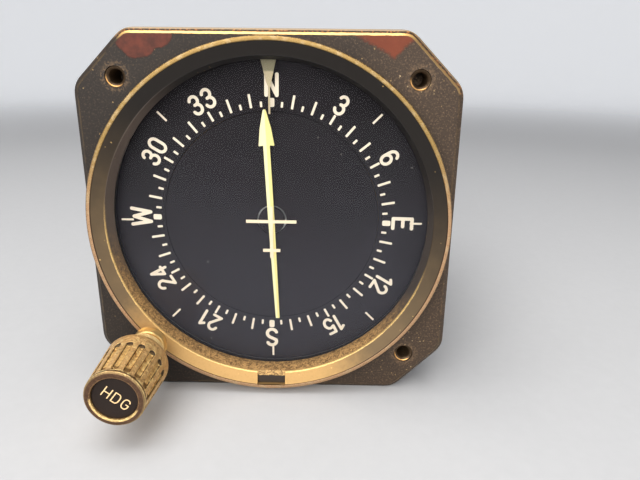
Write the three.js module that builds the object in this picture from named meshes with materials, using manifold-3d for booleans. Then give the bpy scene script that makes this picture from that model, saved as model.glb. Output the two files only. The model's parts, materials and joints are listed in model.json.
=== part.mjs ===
// An automatic direction finder indicator for an instrument panel, in millimetres, +Z up.
// The dial faces -Y. Every piece is drawn about the dial's own axis, with y = 0 on the
// front face of the flange and y growing towards the back. The last lines move the whole
// to its origin: the middle of its footprint, at the height of the flange's lower edge.
import * as THREE from 'three';
import { mergeVertices } from 'three/addons/utils/BufferGeometryUtils.js';
import Module from 'manifold-3d';

const wasm = await Module();
wasm.setup();

// Fits shared by all pieces
const seatGap = 0.1;
const pressGap = 0.05;
const runningGap = 0.08;
const slipGap = 0.3;
const overrun = 1;

// Roundness, in segments to a full turn
const dialSegments = 48;
const plainSegments = 24;
const smallSegments = 12;
const fluteSegments = 8;

// Housing casting: flange, body behind it, and the spigot that the rear cover slides over
const flangeWidth = 81.4;
const flangeHeight = 82.3;
const flangeChamfer = 11.35;
const flangeThickness = 4;
const flangeBevel = 1;
const chamferInsetShare = 2 - Math.SQRT2;
const bodyInset = 1.2;
const bodyDepth = 4;
const spigotDepth = 4;

// Panel fixing: three threaded inserts on a standard bolt circle, the fourth corner has the knob
const boltSetback = 4.75;
const insertRadius = 2.15;
const insertBoreRadius = 1.4;
const insertLength = 7;
const insertCountersink = 0.5;
const insertRecess = 0.3;

// Bezel ring, sunk into the flange, with its lap over the bore and the ledge behind it
const bezelMargin = 1;
const bezelSeatDepth = 0.4;
const bezelLap = 1.3;
const bezelLedge = 1.8;
const bezelProud = 3.4;
const rimChamfer = 0.25;
const rimWidth = 0.85;
const rimStep = 0.15;
const bandInnerProud = 2.38;
const wallSlope = 0.72;
const glassLip = 2.05;
const spigotWall = 1.3;

// Place for a label at the foot of the bezel's band
const labelWidth = 6.5;
const labelRecessDepth = 0.65;
const labelThickness = 0.4;

// Window
const glassFront = 1.55;
const glassThickness = 1.4;
const gasketThickness = 0.5;
const gasketWidth = 1.3;
const retainerThickness = 0.35;

// Card and the gear that carries it
const cardFront = 4.25;
const cardThickness = 0.7;
const cardClearance = 0.5;
const cardBandWidth = 11.7;
const centreDiscRecess = 0.15;
const centreHoleRadius = 3.4;
const gearFaceWidth = 2;
const cardGearTeeth = 60;
const knobPinionTeeth = 10;
const cardHubRadius = 6.5;
const cardHubLength = 4.2;
const cardBushWall = 0.8;

// Tooth form, as shares of the module
const pressureAngle = THREE.MathUtils.degToRad(25);
const addendumShare = 0.8;
const dedendumShare = 1;
const backlash = 0.12;

// Heading knob, on the lower left diagonal
const knobSetback = 0.3;
const knobReach = 25.8;
const knobFrontRadius = 6.14;
const knobWaistRadius = 6.9;
const knobWaistReach = 12.5;
const knobShoulderLength = 2.3;
const knobShoulderShares = [[0.15, 0.5], [0.5, 0.87]];
const knobNeckRadius = 4.6;
const knobNeckLength = 3.55;
const knobRimLength = 1.5;
const knobEdge = 0.35;
const knobWaistLength = 2.2;
const knobFluteCount = 16;
const knobFluteTurn = 2;
const knobFluteRadius = 0.85;
const knobFluteOffsetShare = 0.35;
const knobFaceRadius = 4.65;
const knobFaceRecess = 0.55;
const knobFaceThickness = 1;
const knobShaftRadius = 1.59;
const knobShaftInsertion = 12;
const knobShaftEndDepth = 2.6;
const setScrewRadius = 1;
const knobBossRadius = 3.9;
const knobBossReach = 4.9;
const bushingRadius = 2.4;
const bushingCollarRadius = 3.4;
const bushingCollarLength = 1.3;
const clipThickness = 0.5;
const clipWidth = 1.3;

// Needle and its shaft
const pointerFront = 3.3;
const pointerThickness = 0.35;
const pointerTurn = THREE.MathUtils.degToRad(2.7);
const pointerTipLap = 0.5;
const pointerHeadLength = 7.85;
const pointerHeadWidth = 3.7;
const pointerTipWidth = 0.6;
const pointerShankWidth = 1.45;
const pointerTailWidth = 0.95;
const pointerHubRadius = 3;
const pointerHubThickness = 1.2;
const pointerShaftRadius = 1;

// Mechanism between two plates
const plateThickness = 2;
const rearPlateClearance = 3.5;
const pillarRadius = 2.5;
const pillarTenonRadius = 1.4;
const pillarEdge = 3;
const pillarAngles = [165, 250, 335];
const tubeRadius = 3.5;
const tubeBoreRadius = 2.4;
const tubeFlangeRadius = 6;
const tubeFlangeThickness = 1.5;
const bearingWidth = 2;
const rearBearingRadius = 4;
const idlerDistance = 18.4;
const pointerGearTeeth = 36;
const idlerPinionTeeth = 10;
const idlerGearTeeth = 30;
const motorPinionTeeth = 10;
const idlerDirection = THREE.MathUtils.degToRad(60);
const motorDirection = THREE.MathUtils.degToRad(-35);
const pointerGearSetback = 6;
const idlerGearSetback = 12;
const trainClearance = 1.4;
const gearHubLength = 2.6;
const gearHubWall = 2;
const pinionHubWall = 1;
const arborRadius = 1.5;

// Servo motor and angle pickup behind the rear plate
const motorRadius = 8;
const motorClearance = 8.2;
const motorPilotRadius = 4;
const motorShaftRadius = 1.2;
const motorShaftInsertion = 3;
const statorRadius = 12;
const statorBoreRadius = 7.5;
const statorLengthShare = 0.6;
const rotorRadius = 7;
const rotorLengthShare = 0.75;
const capThickness = 2;

// Rear cover, circuit board and connector
const caseDepth = 86;
const coverWall = 1;
const boardWidth = 62;
const boardHeight = 58;
const boardChamfer = 8;
const boardThickness = 1.6;
const boardSetback = 12;
const connectorWidth = 36;
const connectorHeight = 11;
const connectorReach = 7;
const connectorFlangeWidth = 50;
const connectorFlangeHeight = 14;
const connectorFlangeThickness = 1.6;
const connectorScrewSpacing = 43;

// Screws
const screwRadius = 1.2;
const screwHeadRadius = 2.1;
const screwHeadHeight = 1.1;
const screwCrownShare = 0.7;
const slotWidth = 0.6;
const slotDepth = 0.5;
const coverScrewLength = 4.4;
const coverScrewHeight = 14;
const plateScrewLength = 5;
const plateScrewX = 22;
const plateScrewEdge = 6.95;

// Places worked out from the sizes above
const faceSpan = Math.min(flangeWidth, flangeHeight);
const bezelRadius = faceSpan / 2 - bezelMargin;
const bezelSeat = bezelSeatDepth - seatGap;
const bezelBoreRadius = bezelRadius - bezelLap;
const cavityRadius = bezelBoreRadius - bezelLedge;
const spigotRadius = bezelBoreRadius - pressGap;
const glassPocketRadius = spigotRadius - spigotWall;
const glassRadius = glassPocketRadius - pressGap;
const windowRadius = glassPocketRadius - glassLip;
const bandInnerRadius = windowRadius + wallSlope;
const glassRear = glassFront + glassThickness;
const gasketFront = glassRear + seatGap;
const retainerFront = gasketFront + gasketThickness + seatGap;
const bodyRear = flangeThickness + bodyDepth;
const knobShaftRear = bodyRear + knobShaftEndDepth;
const spigotRear = bodyRear + spigotDepth;
const coverFront = bodyRear + seatGap;
const spigotInset = bodyInset + coverWall + seatGap;
const cavityFront = flangeThickness + seatGap;
const cardRadius = cavityRadius - cardClearance;
const centreDiscRadius = cardRadius - cardBandWidth;
const cardRear = cardFront + cardThickness;
const cardGearFront = cardRear + seatGap;
const cardGearRear = cardGearFront + gearFaceWidth;
const knobDistance = bezelRadius + knobSetback;
const cardGearModule = 2 * knobDistance / (cardGearTeeth + knobPinionTeeth);
const knobAngle = THREE.MathUtils.degToRad(225);
const knobX = knobDistance * Math.cos(knobAngle);
const knobZ = knobDistance * Math.sin(knobAngle);
const pinionTipRadius = cardGearModule * (knobPinionTeeth / 2 + addendumShare);
const boltCircleRadius = bezelRadius + boltSetback;
const holeOffset = boltCircleRadius * Math.SQRT1_2;
const pointerTipReach = centreDiscRadius + pointerTipLap;
const pointerHeadReach = pointerTipReach - pointerHeadLength;
const pointerRear = pointerFront + pointerThickness;
const hubFront = pointerRear + pressGap;
const hubRear = hubFront + pointerHubThickness;
const shaftFront = hubFront + pointerHubThickness / 3;
const tubeFront = hubRear + slipGap;
const frontPlateFront = spigotRear + seatGap;
const frontPlateRear = frontPlateFront + plateThickness;
const idlerGearFront = frontPlateRear + idlerGearSetback;
const rearPlateFront = idlerGearFront + gearFaceWidth + gearHubLength + trainClearance;
const rearPlateRear = rearPlateFront + plateThickness;
const rearPlateInset = bodyInset + coverWall + rearPlateClearance;
const pillarDistance = faceSpan / 2 - rearPlateInset - pillarEdge;
const plateScrewZ = flangeHeight / 2 - plateScrewEdge;
const trainModule = 2 * idlerDistance / (pointerGearTeeth + idlerPinionTeeth);
const idlerX = idlerDistance * Math.cos(idlerDirection);
const idlerZ = idlerDistance * Math.sin(idlerDirection);
const motorDistance = trainModule * (idlerGearTeeth + motorPinionTeeth) / 2;
const motorX = idlerX + motorDistance * Math.cos(motorDirection);
const motorZ = idlerZ + motorDistance * Math.sin(motorDirection);
const pointerGearFront = frontPlateRear + pointerGearSetback;
const boardRear = caseDepth - boardSetback;
const motorFront = rearPlateRear + seatGap;
const motorRear = boardRear - boardThickness - motorClearance;
const motorLength = motorRear - motorFront;
const statorLength = motorLength * statorLengthShare;
const statorRear = motorFront + statorLength;
const rotorLength = statorLength * rotorLengthShare;

// Materials, in the colours of the real finishes
function finish(color, roughness, metalness) {
  return new THREE.MeshStandardMaterial({ color, roughness, metalness });
}
const blackCasting = finish(0x35322d, 0.6, 0.2);
const wornBronze = finish(0x8a6d3f, 0.45, 0.6);
const blackPaint = finish(0x0c0d10, 0.7, 0);
const brassInsert = finish(0x6b5f45, 0.4, 0.9);
const clearGlass = finish(0x9fb0c0, 0.05, 0);
const blackRubber = finish(0x151515, 0.9, 0);
const steel = finish(0xa7a9ab, 0.35, 0.9);
const brass = finish(0xb08d4a, 0.35, 0.9);
const aluminium = finish(0x9a9c9e, 0.4, 0.8);
const pointerPaint = finish(0xf2eecb, 0.6, 0);
const motorCase = finish(0x6f7173, 0.4, 0.8);
const boardGreen = finish(0x2c5a35, 0.6, 0);
const connectorBlue = finish(0x1d2c4a, 0.6, 0);
const coverGrey = finish(0x2b2b2c, 0.6, 0.3);

// A closed mesh as a solid whose faces point outwards
function solid(geometry) {
  geometry.deleteAttribute('normal');
  geometry.deleteAttribute('uv');
  const merged = mergeVertices(geometry);
  const points = merged.attributes.position;
  const corners = merged.index.array;
  const triangles = [];
  const a = new THREE.Vector3();
  const b = new THREE.Vector3();
  const c = new THREE.Vector3();
  let volume = 0;
  for (let i = 0; i < corners.length; i += 3) {
    const [p, q, r] = [corners[i], corners[i + 1], corners[i + 2]];
    if (p === q || q === r || r === p) continue;
    triangles.push(p, q, r);
    a.fromBufferAttribute(points, p);
    b.fromBufferAttribute(points, q);
    c.fromBufferAttribute(points, r);
    volume += a.dot(b.cross(c));
  }
  if (volume < 0) triangles.reverse();
  return new wasm.Manifold(new wasm.Mesh({
    numProp: 3,
    vertProperties: new Float32Array(points.array),
    triVerts: new Uint32Array(triangles),
  }));
}

function cut(base, ...tools) {
  return tools.reduce((rest, tool) => rest.subtract(tool), base);
}

function join(base, ...others) {
  return others.reduce((whole, other) => whole.add(other), base);
}

// A turned shape from its profile of [radius, y] points, which closes on itself or on the axis
function turned(profile, segments) {
  const points = profile.map(([radius, y]) => new THREE.Vector2(radius, y));
  if (profile[0][0] > 0) points.push(points[0].clone());
  return solid(new THREE.LatheGeometry(points, segments));
}

function ring(outer, inner, front, rear, segments) {
  const clear = inner / Math.cos(Math.PI / segments);
  return turned([[outer, front], [outer, rear], [clear, rear], [clear, front]], segments);
}

function rod(radius, front, rear, segments) {
  return turned([[0, front], [radius, front], [radius, rear], [0, rear]], segments);
}

// A cutter for a round hole. Its flats, and not its corners, lie on the radius.
function bore(radius, front, rear, segments) {
  return rod(radius / Math.cos(Math.PI / segments), front, rear, segments);
}

function movedTo(shape, x, z) {
  return shape.translate([x, 0, z]);
}

// A cutter for a hole right through what lies between front and rear, for a pressed fit
function throughHole(radius, front, rear, x, z) {
  return movedTo(bore(radius + pressGap, front - overrun, rear + overrun, smallSegments), x, z);
}

// A flat shape drawn as seen from the front, given its thickness along y
function plate(outline, front, rear) {
  const geometry = new THREE.ExtrudeGeometry(outline, { depth: rear - front, bevelEnabled: false });
  geometry.rotateX(Math.PI / 2);
  geometry.translate(0, rear, 0);
  return solid(geometry);
}

function box(x, y, z, width, depth, height) {
  return solid(new THREE.BoxGeometry(width, depth, height).translate(x, y, z));
}

// A rectangle with its corners cut at 45 degrees, drawn in from the outline by an inset
function cutCornerOutline(width, height, chamfer, inset) {
  const x = width / 2 - inset;
  const z = height / 2 - inset;
  const cutLength = chamfer - inset * chamferInsetShare;
  const outline = new THREE.Shape();
  outline.moveTo(x, z - cutLength);
  outline.lineTo(x - cutLength, z);
  outline.lineTo(cutLength - x, z);
  outline.lineTo(-x, z - cutLength);
  outline.lineTo(-x, cutLength - z);
  outline.lineTo(cutLength - x, -z);
  outline.lineTo(x - cutLength, -z);
  outline.lineTo(x, cutLength - z);
  outline.closePath();
  return outline;
}

function bodyOutline(inset) {
  return cutCornerOutline(flangeWidth, flangeHeight, flangeChamfer, inset);
}

// A spur gear's outline with involute flanks, its first tooth on the x axis
function gearOutline(teeth, gearModule) {
  const pitchRadius = teeth * gearModule / 2;
  const baseRadius = pitchRadius * Math.cos(pressureAngle);
  const rootRadius = pitchRadius - dedendumShare * gearModule;
  const tipRadius = pitchRadius + addendumShare * gearModule;
  const involute = (angle) => Math.tan(angle) - angle;
  const halfAtPitch = Math.PI / (2 * teeth) - backlash / (2 * pitchRadius);
  const halfTooth = (radius) => {
    const angle = Math.acos(Math.min(1, baseRadius / radius));
    return halfAtPitch + involute(pressureAngle) - involute(angle);
  };
  const flank = [rootRadius, pitchRadius, tipRadius];
  if (baseRadius > rootRadius) flank.splice(1, 0, baseRadius);
  const points = [];
  for (let tooth = 0; tooth < teeth; tooth += 1) {
    const centre = 2 * Math.PI * tooth / teeth;
    const rising = flank.map((radius) => [radius, centre - halfTooth(radius)]);
    const falling = flank.map((radius) => [radius, centre + halfTooth(radius)]).reverse();
    for (const [radius, angle] of [...rising, ...falling]) {
      points.push(new THREE.Vector2(radius * Math.cos(angle), radius * Math.sin(angle)));
    }
  }
  return new THREE.Shape(points);
}

// The turn of a gear that puts its gaps on the teeth of the gear it meshes with
function meshTurn(fixedTeeth, fixedTurn, teeth, direction) {
  const phase = fixedTeeth * (direction - fixedTurn);
  return direction + Math.PI - (Math.PI - phase) / teeth;
}

// A gear with a hub behind it, pressed on a shaft
function gear(teeth, gearModule, front, shaftRadius, hubRadius, hubLength) {
  const rear = front + gearFaceWidth;
  const teethPlate = plate(gearOutline(teeth, gearModule), front, rear);
  const hubRear = rear + hubLength;
  const hub = rod(hubRadius, front + gearFaceWidth / 2, hubRear, plainSegments);
  return cut(join(teethPlate, hub), throughHole(shaftRadius, front, hubRear, 0, 0));
}

// A screw pointing along +y with its head in front, the head's underside at y = 0
function slottedScrew(radius, headRadius, headHeight, length) {
  const head = turned([
    [0, -headHeight], [headRadius * screwCrownShare, -headHeight], [headRadius, -headHeight / 2],
    [headRadius, 0], [radius, 0], [radius, length], [0, length],
  ], smallSegments);
  return cut(head, box(0, -headHeight, 0, 2 * headRadius + overrun, 2 * slotDepth, slotWidth));
}

const instrument = new THREE.Group();

function addGroup(x = 0, z = 0) {
  const group = new THREE.Group();
  group.position.set(x, 0, z);
  instrument.add(group);
  return group;
}

function addPiece(group, name, shape, material) {
  const { vertProperties, triVerts } = shape.getMesh();
  const geometry = new THREE.BufferGeometry();
  geometry.setAttribute('position', new THREE.BufferAttribute(vertProperties, 3));
  geometry.setIndex(new THREE.BufferAttribute(triVerts, 1));
  geometry.computeVertexNormals();
  const mesh = new THREE.Mesh(geometry, material);
  mesh.name = name;
  group.add(mesh);
  return mesh;
}

// Housing, with everything that is fixed to it
const fixed = addGroup();
const insertPlaces = [[-1, 1], [1, 1], [1, -1]].map(([x, z]) => [x * holeOffset, z * holeOffset]);
const sides = [-1, 1];

function bevelledFlange() {
  const bevelled = new THREE.ExtrudeGeometry(bodyOutline(0), {
    depth: flangeThickness,
    bevelThickness: flangeBevel,
    bevelSize: flangeBevel,
    bevelOffset: -flangeBevel,
    bevelSegments: 1,
  });
  bevelled.rotateX(Math.PI / 2);
  bevelled.translate(0, flangeThickness + flangeBevel, 0);
  const behind = plate(bodyOutline(-overrun), flangeThickness, flangeThickness + 3 * flangeBevel);
  return cut(solid(bevelled), behind);
}

function frontHousing() {
  const body = plate(bodyOutline(bodyInset), flangeThickness - overrun, bodyRear);
  const spigot = plate(bodyOutline(spigotInset), bodyRear - overrun, spigotRear);
  const casting = join(bevelledFlange(), body, spigot);
  const bezelSink = rod(bezelRadius + pressGap, -overrun, bezelSeatDepth, dialSegments);
  const bezelBore = rod(bezelBoreRadius, 0, cavityFront, dialSegments);
  const cavity = rod(cavityRadius, 0, spigotRear + overrun, dialSegments);
  const pocketRadius = pinionTipRadius + 2 * slipGap;
  const pocket = movedTo(rod(pocketRadius, cavityFront, bodyRear, plainSegments), knobX, knobZ);
  const bushingHole = throughHole(bushingRadius, 0, flangeThickness, knobX, knobZ);
  const shaftHole = bore(knobShaftRadius + runningGap, 0, knobShaftRear + slipGap, smallSegments);
  const insertHoleRear = insertRecess + insertLength + seatGap;
  const insertHole = bore(insertRadius + pressGap, -overrun, insertHoleRear, smallSegments);
  const insertHoles = insertPlaces.map(([x, z]) => movedTo(insertHole, x, z));
  const screwHoleFront = spigotRear + plateThickness - plateScrewLength;
  const screwHole = bore(screwRadius + pressGap, screwHoleFront, spigotRear + overrun, smallSegments);
  const plateScrewHoles = plateScrewPlaces.map(([x, z]) => movedTo(screwHole, x, z));
  const coverScrewHoles = coverScrewPlaces.map((place) => coverScrewHole(place));
  return cut(casting, bezelSink, bezelBore, cavity, pocket, bushingHole, movedTo(shaftHole, knobX, knobZ),
    ...insertHoles, ...plateScrewHoles, ...coverScrewHoles);
}

function mountingInsert() {
  const front = insertRecess;
  const rear = insertRecess + insertLength;
  const mouth = insertBoreRadius + insertCountersink;
  return turned([
    [insertRadius, front], [insertRadius, rear], [insertBoreRadius, rear],
    [insertBoreRadius, front + insertCountersink], [mouth, front],
  ], smallSegments);
}

// The bezel ring's profile runs from its seat over the rim and the band, and down to the glass
function bezelRing() {
  const rimInner = bezelRadius - rimWidth;
  const body = turned([
    [bezelRadius, bezelSeat],
    [bezelRadius, rimChamfer - bezelProud],
    [bezelRadius - rimChamfer, -bezelProud],
    [rimInner, -bezelProud],
    [rimInner - rimStep, rimStep - bezelProud],
    [bandInnerRadius, -bandInnerProud],
    [windowRadius, glassFront - pressGap],
    [glassPocketRadius, glassFront - pressGap],
    [glassPocketRadius, flangeThickness],
    [spigotRadius, flangeThickness],
    [spigotRadius, bezelSeat],
  ], dialSegments);
  const bossRear = -seatGap;
  const boss = movedTo(rod(knobBossRadius, -knobBossReach, bossRear, plainSegments), knobX, knobZ);
  const bushingHole = throughHole(bushingRadius, -knobBossReach, flangeThickness, knobX, knobZ);
  const windowClear = rod(bandInnerRadius, -knobBossReach - overrun, -bandInnerProud, dialSegments);
  return cut(join(body, cut(boss, windowClear)), bushingHole, labelRecess());
}

const labelTop = -bandInnerRadius + rimStep;
const labelBottom = rimWidth + rimStep - bezelRadius;
const labelFloor = labelRecessDepth - bandInnerProud;
const labelMiddle = (labelTop + labelBottom) / 2;

function labelRecess() {
  const front = -bezelProud - overrun;
  const height = labelTop - labelBottom + 2 * pressGap;
  return box(0, (front + labelFloor) / 2, labelMiddle, labelWidth + 2 * pressGap, labelFloor - front, height);
}

function labelPlate() {
  const middle = labelFloor - seatGap - labelThickness / 2;
  return box(0, middle, labelMiddle, labelWidth, labelThickness, labelTop - labelBottom);
}

// The gasket behind the glass and the spring ring behind the gasket
function glassRing(front, thickness) {
  return ring(glassRadius, glassRadius - gasketWidth, front, front + thickness, dialSegments);
}

addPiece(fixed, 'bezel_ring', bezelRing(), wornBronze);
addPiece(fixed, 'label_plate', labelPlate(), blackPaint);
addPiece(fixed, 'window_glass', rod(glassRadius, glassFront, glassRear, dialSegments), clearGlass);
addPiece(fixed, 'glass_gasket', glassRing(gasketFront, gasketThickness), blackRubber);
addPiece(fixed, 'glass_retainer', glassRing(retainerFront, retainerThickness), steel);
insertPlaces.forEach(([x, z], index) => {
  addPiece(fixed, `mounting_insert_${index + 1}`, movedTo(mountingInsert(), x, z), brassInsert);
});

// Screws: four hold the front plate from behind, four hold the rear cover from the sides
const plateScrewPlaces = sides.flatMap((x) => sides.map((z) => [x * plateScrewX, z * plateScrewZ]));
const coverScrewPlaces = sides.flatMap((x) => sides.map((z) => [x, z * coverScrewHeight]));
const coverOuterX = flangeWidth / 2 - bodyInset;
const coverScrewY = (coverFront + spigotRear) / 2;

// Points a shape drawn along +y inwards from one side of the case
function fromSide(shape, side, outwards, z) {
  const turn = side > 0 ? 90 : -90;
  return shape.rotate([0, 0, turn]).translate([side * outwards, coverScrewY, z]);
}

function coverScrewHole([side, z]) {
  const hole = bore(screwRadius + pressGap, -overrun, coverScrewLength, smallSegments);
  return fromSide(hole, side, coverOuterX, z);
}

addPiece(fixed, 'front_housing', frontHousing(), blackCasting);
const coverScrew = slottedScrew(screwRadius, screwHeadRadius, screwHeadHeight, coverScrewLength - seatGap);
coverScrewPlaces.forEach(([side, z], index) => {
  const screw = fromSide(coverScrew, side, coverOuterX + pressGap, z);
  addPiece(fixed, `cover_screw_${index + 1}`, screw, steel);
});
const plateScrew = slottedScrew(screwRadius, screwHeadRadius, screwHeadHeight, plateScrewLength - seatGap);
plateScrewPlaces.forEach(([x, z], index) => {
  const screw = plateScrew.rotate([180, 0, 0]).translate([x, frontPlateRear + pressGap, z]);
  addPiece(fixed, `plate_screw_${index + 1}`, screw, steel);
});

// The plates of the mechanism, their pillars and the tube that everything turns about
const pillarPlaces = pillarAngles.map((degrees) => {
  const angle = THREE.MathUtils.degToRad(degrees);
  return [pillarDistance * Math.cos(angle), pillarDistance * Math.sin(angle)];
});

function frontPlate() {
  const whole = plate(bodyOutline(spigotInset + slipGap), frontPlateFront, frontPlateRear);
  const hole = (radius, x, z) => throughHole(radius, frontPlateFront, frontPlateRear, x, z);
  const pillarHoles = pillarPlaces.map(([x, z]) => hole(pillarTenonRadius, x, z));
  const screwHoles = plateScrewPlaces.map(([x, z]) => hole(screwRadius, x, z));
  const arborHole = hole(arborRadius + runningGap - pressGap, idlerX, idlerZ);
  return cut(whole, hole(tubeRadius, 0, 0), arborHole, ...pillarHoles, ...screwHoles);
}

function rearPlate() {
  const whole = plate(bodyOutline(rearPlateInset), rearPlateFront, rearPlateRear);
  const hole = (radius, x, z) => throughHole(radius, rearPlateFront, rearPlateRear, x, z);
  const pillarHoles = pillarPlaces.map(([x, z]) => hole(pillarTenonRadius, x, z));
  const arborHole = hole(arborRadius + runningGap - pressGap, idlerX, idlerZ);
  const motorHole = hole(motorPilotRadius, motorX, motorZ);
  return cut(whole, hole(rearBearingRadius, 0, 0), arborHole, motorHole, ...pillarHoles);
}

function pillar() {
  const front = frontPlateRear + seatGap;
  const rear = rearPlateFront - seatGap;
  return turned([
    [0, frontPlateFront], [pillarTenonRadius, frontPlateFront], [pillarTenonRadius, front],
    [pillarRadius, front], [pillarRadius, rear], [pillarTenonRadius, rear],
    [pillarTenonRadius, rearPlateRear], [0, rearPlateRear],
  ], smallSegments);
}

function bearingTube() {
  const flangeFront = frontPlateRear + seatGap;
  const rear = flangeFront + tubeFlangeThickness;
  return turned([
    [tubeRadius, tubeFront], [tubeRadius, flangeFront], [tubeFlangeRadius, flangeFront],
    [tubeFlangeRadius, rear], [tubeBoreRadius, rear], [tubeBoreRadius, tubeFront],
  ], plainSegments);
}

addPiece(fixed, 'front_plate', frontPlate(), aluminium);
addPiece(fixed, 'rear_plate', rearPlate(), aluminium);
pillarPlaces.forEach(([x, z], index) => {
  addPiece(fixed, `pillar_${index + 1}`, movedTo(pillar(), x, z), aluminium);
});
addPiece(fixed, 'bearing_tube', bearingTube(), steel);
const shaftHoleRadius = pointerShaftRadius + runningGap;
addPiece(fixed, 'front_shaft_bearing',
  ring(tubeBoreRadius - pressGap, shaftHoleRadius, tubeFront + slipGap, tubeFront + slipGap + bearingWidth,
    smallSegments), steel);
addPiece(fixed, 'rear_shaft_bearing',
  ring(rearBearingRadius, shaftHoleRadius, rearPlateFront, rearPlateRear, smallSegments), steel);

// Card, its gear and its bush turn together about the tube
const card = addGroup();
const bushRadius = tubeRadius + runningGap + cardBushWall;
const cardGearHubRear = cardGearRear + cardHubLength;
const centreDiscFront = cardFront + centreDiscRecess;
addPiece(card, 'compass_card',
  ring(cardRadius, centreDiscRadius + seatGap, cardFront, cardRear, dialSegments), blackPaint);
addPiece(card, 'card_centre_disc',
  ring(centreDiscRadius, centreHoleRadius, centreDiscFront, cardRear, dialSegments), blackPaint);
addPiece(card, 'card_ring_gear',
  gear(cardGearTeeth, cardGearModule, cardGearFront, bushRadius, cardHubRadius, cardHubLength), brass);
addPiece(card, 'card_bush',
  ring(bushRadius, tubeRadius + runningGap, cardGearFront, cardGearHubRear, plainSegments), brass);

// Heading knob, its shaft and the pinion that turns the card
const knobGroup = addGroup(knobX, knobZ);
const knobRear = knobShoulderLength + knobNeckLength - knobWaistReach;
const knobFaceSeat = knobFaceRecess + knobFaceThickness + seatGap - knobReach;
const bushingFront = -knobBossReach - seatGap - bushingCollarLength;
const knobShaftFront = knobRear - knobShaftInsertion;
const clipFront = cavityFront + seatGap;
const knobFluteRear = -knobWaistReach - knobWaistLength;
const setScrewY = knobFluteRear + knobWaistLength / 2;

function headingKnob() {
  const shoulderRear = knobShoulderLength - knobWaistReach;
  const shoulderDepth = knobWaistRadius - knobNeckRadius;
  const body = turned([
    [0, -knobReach],
    [knobFrontRadius - knobEdge, -knobReach],
    [knobFrontRadius, knobEdge - knobReach],
    [knobWaistRadius, -knobWaistReach],
    ...knobShoulderShares.map(([inShare, alongShare]) => {
      return [knobWaistRadius - shoulderDepth * inShare, knobShoulderLength * alongShare - knobWaistReach];
    }),
    [knobNeckRadius, shoulderRear],
    [knobNeckRadius, knobRear],
    [0, knobRear],
  ], 2 * plainSegments);
  const faceSocket = bore(knobFaceRadius + pressGap, -knobReach - overrun, knobFaceSeat, plainSegments);
  const shaftBore = throughHole(knobShaftRadius, knobShaftFront, knobRear, 0, 0);
  const screwHole = bore(setScrewRadius + pressGap, 0, knobWaistRadius + overrun, smallSegments)
    .rotate([-90, 0, 0]).translate([0, setScrewY, 0]);
  return cut(body, faceSocket, shaftBore, screwHole, ...knobFlutes());
}

// Each flute lies along the taper of the body and ends short of the rim and of the waist
function knobFlutes() {
  const front = knobRimLength - knobReach;
  const length = knobFluteRear - front;
  const taperLength = knobReach - knobWaistReach;
  const taper = Math.atan2(knobWaistRadius - knobFrontRadius, taperLength);
  const middleShare = (knobRimLength + length / 2) / taperLength;
  const middleRadius = knobFrontRadius + (knobWaistRadius - knobFrontRadius) * middleShare;
  const flute = rod(knobFluteRadius, -length / 2, length / 2, fluteSegments)
    .rotate([THREE.MathUtils.radToDeg(taper), 0, 0])
    .translate([0, front + length / 2, middleRadius + knobFluteRadius * knobFluteOffsetShare]);
  return Array.from({ length: knobFluteCount }, (_, index) => {
    return flute.rotate([0, knobFluteTurn + index * 360 / knobFluteCount, 0]);
  });
}

function shaftBushing() {
  const collarRear = -knobBossReach - seatGap;
  const body = turned([
    [0, bushingFront], [bushingCollarRadius, bushingFront], [bushingCollarRadius, collarRear],
    [bushingRadius, collarRear], [bushingRadius, flangeThickness], [0, flangeThickness],
  ], smallSegments);
  return cut(body, bore(knobShaftRadius + runningGap, bushingFront - overrun, flangeThickness + overrun,
    smallSegments));
}

addPiece(fixed, 'shaft_bushing', movedTo(shaftBushing(), knobX, knobZ), wornBronze);
addPiece(knobGroup, 'heading_knob', headingKnob(), wornBronze);
addPiece(knobGroup, 'knob_face_disc',
  rod(knobFaceRadius, knobFaceRecess - knobReach, knobFaceSeat - seatGap, plainSegments), blackPaint);
addPiece(knobGroup, 'knob_shaft', rod(knobShaftRadius, knobShaftFront, knobShaftRear, smallSegments), steel);
addPiece(knobGroup, 'shaft_clip',
  ring(knobShaftRadius + clipWidth, knobShaftRadius + pressGap, clipFront, clipFront + clipThickness,
    smallSegments), steel);
const setScrewReach = knobWaistRadius - knobFluteRadius - seatGap;
addPiece(knobGroup, 'knob_set_screw',
  rod(setScrewRadius, knobShaftRadius + seatGap, setScrewReach, smallSegments)
    .rotate([-90, 0, 0]).translate([0, setScrewY, 0]), steel);
const knobPinion = addPiece(knobGroup, 'knob_pinion',
  gear(knobPinionTeeth, cardGearModule, cardGearFront, knobShaftRadius, knobShaftRadius + clipWidth,
    clipThickness), brass);
knobPinion.rotation.y = -meshTurn(cardGearTeeth, 0, knobPinionTeeth, knobAngle);

// A gear of the needle's train, whose hub has a wall of its own
function trainGear(teeth, front, shaftRadius, hubWall) {
  return gear(teeth, trainModule, front, shaftRadius, shaftRadius + hubWall, gearHubLength);
}

// The needle, its hub, shaft and gear, and the rotor of the angle pickup
const needle = addGroup();

function pointerOutline() {
  const headSide = pointerHeadWidth / 2;
  const shankSide = pointerShankWidth / 2;
  const neckReach = pointerHeadReach + pointerShankWidth / 2;
  const middleReach = (pointerTipReach + pointerHeadReach) / 2;
  const middleSide = (headSide + pointerTipWidth) / 3;
  const rightSide = [
    [pointerTipWidth / 2, pointerTipReach], [middleSide, middleReach], [headSide, pointerHeadReach],
    [shankSide, neckReach], [shankSide, 0], [pointerTailWidth / 2, -centreDiscRadius],
  ];
  const leftSide = rightSide.map(([x, z]) => [-x, z]).reverse();
  return new THREE.Shape([...rightSide, ...leftSide].map(([x, z]) => new THREE.Vector2(x, z)));
}

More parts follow.
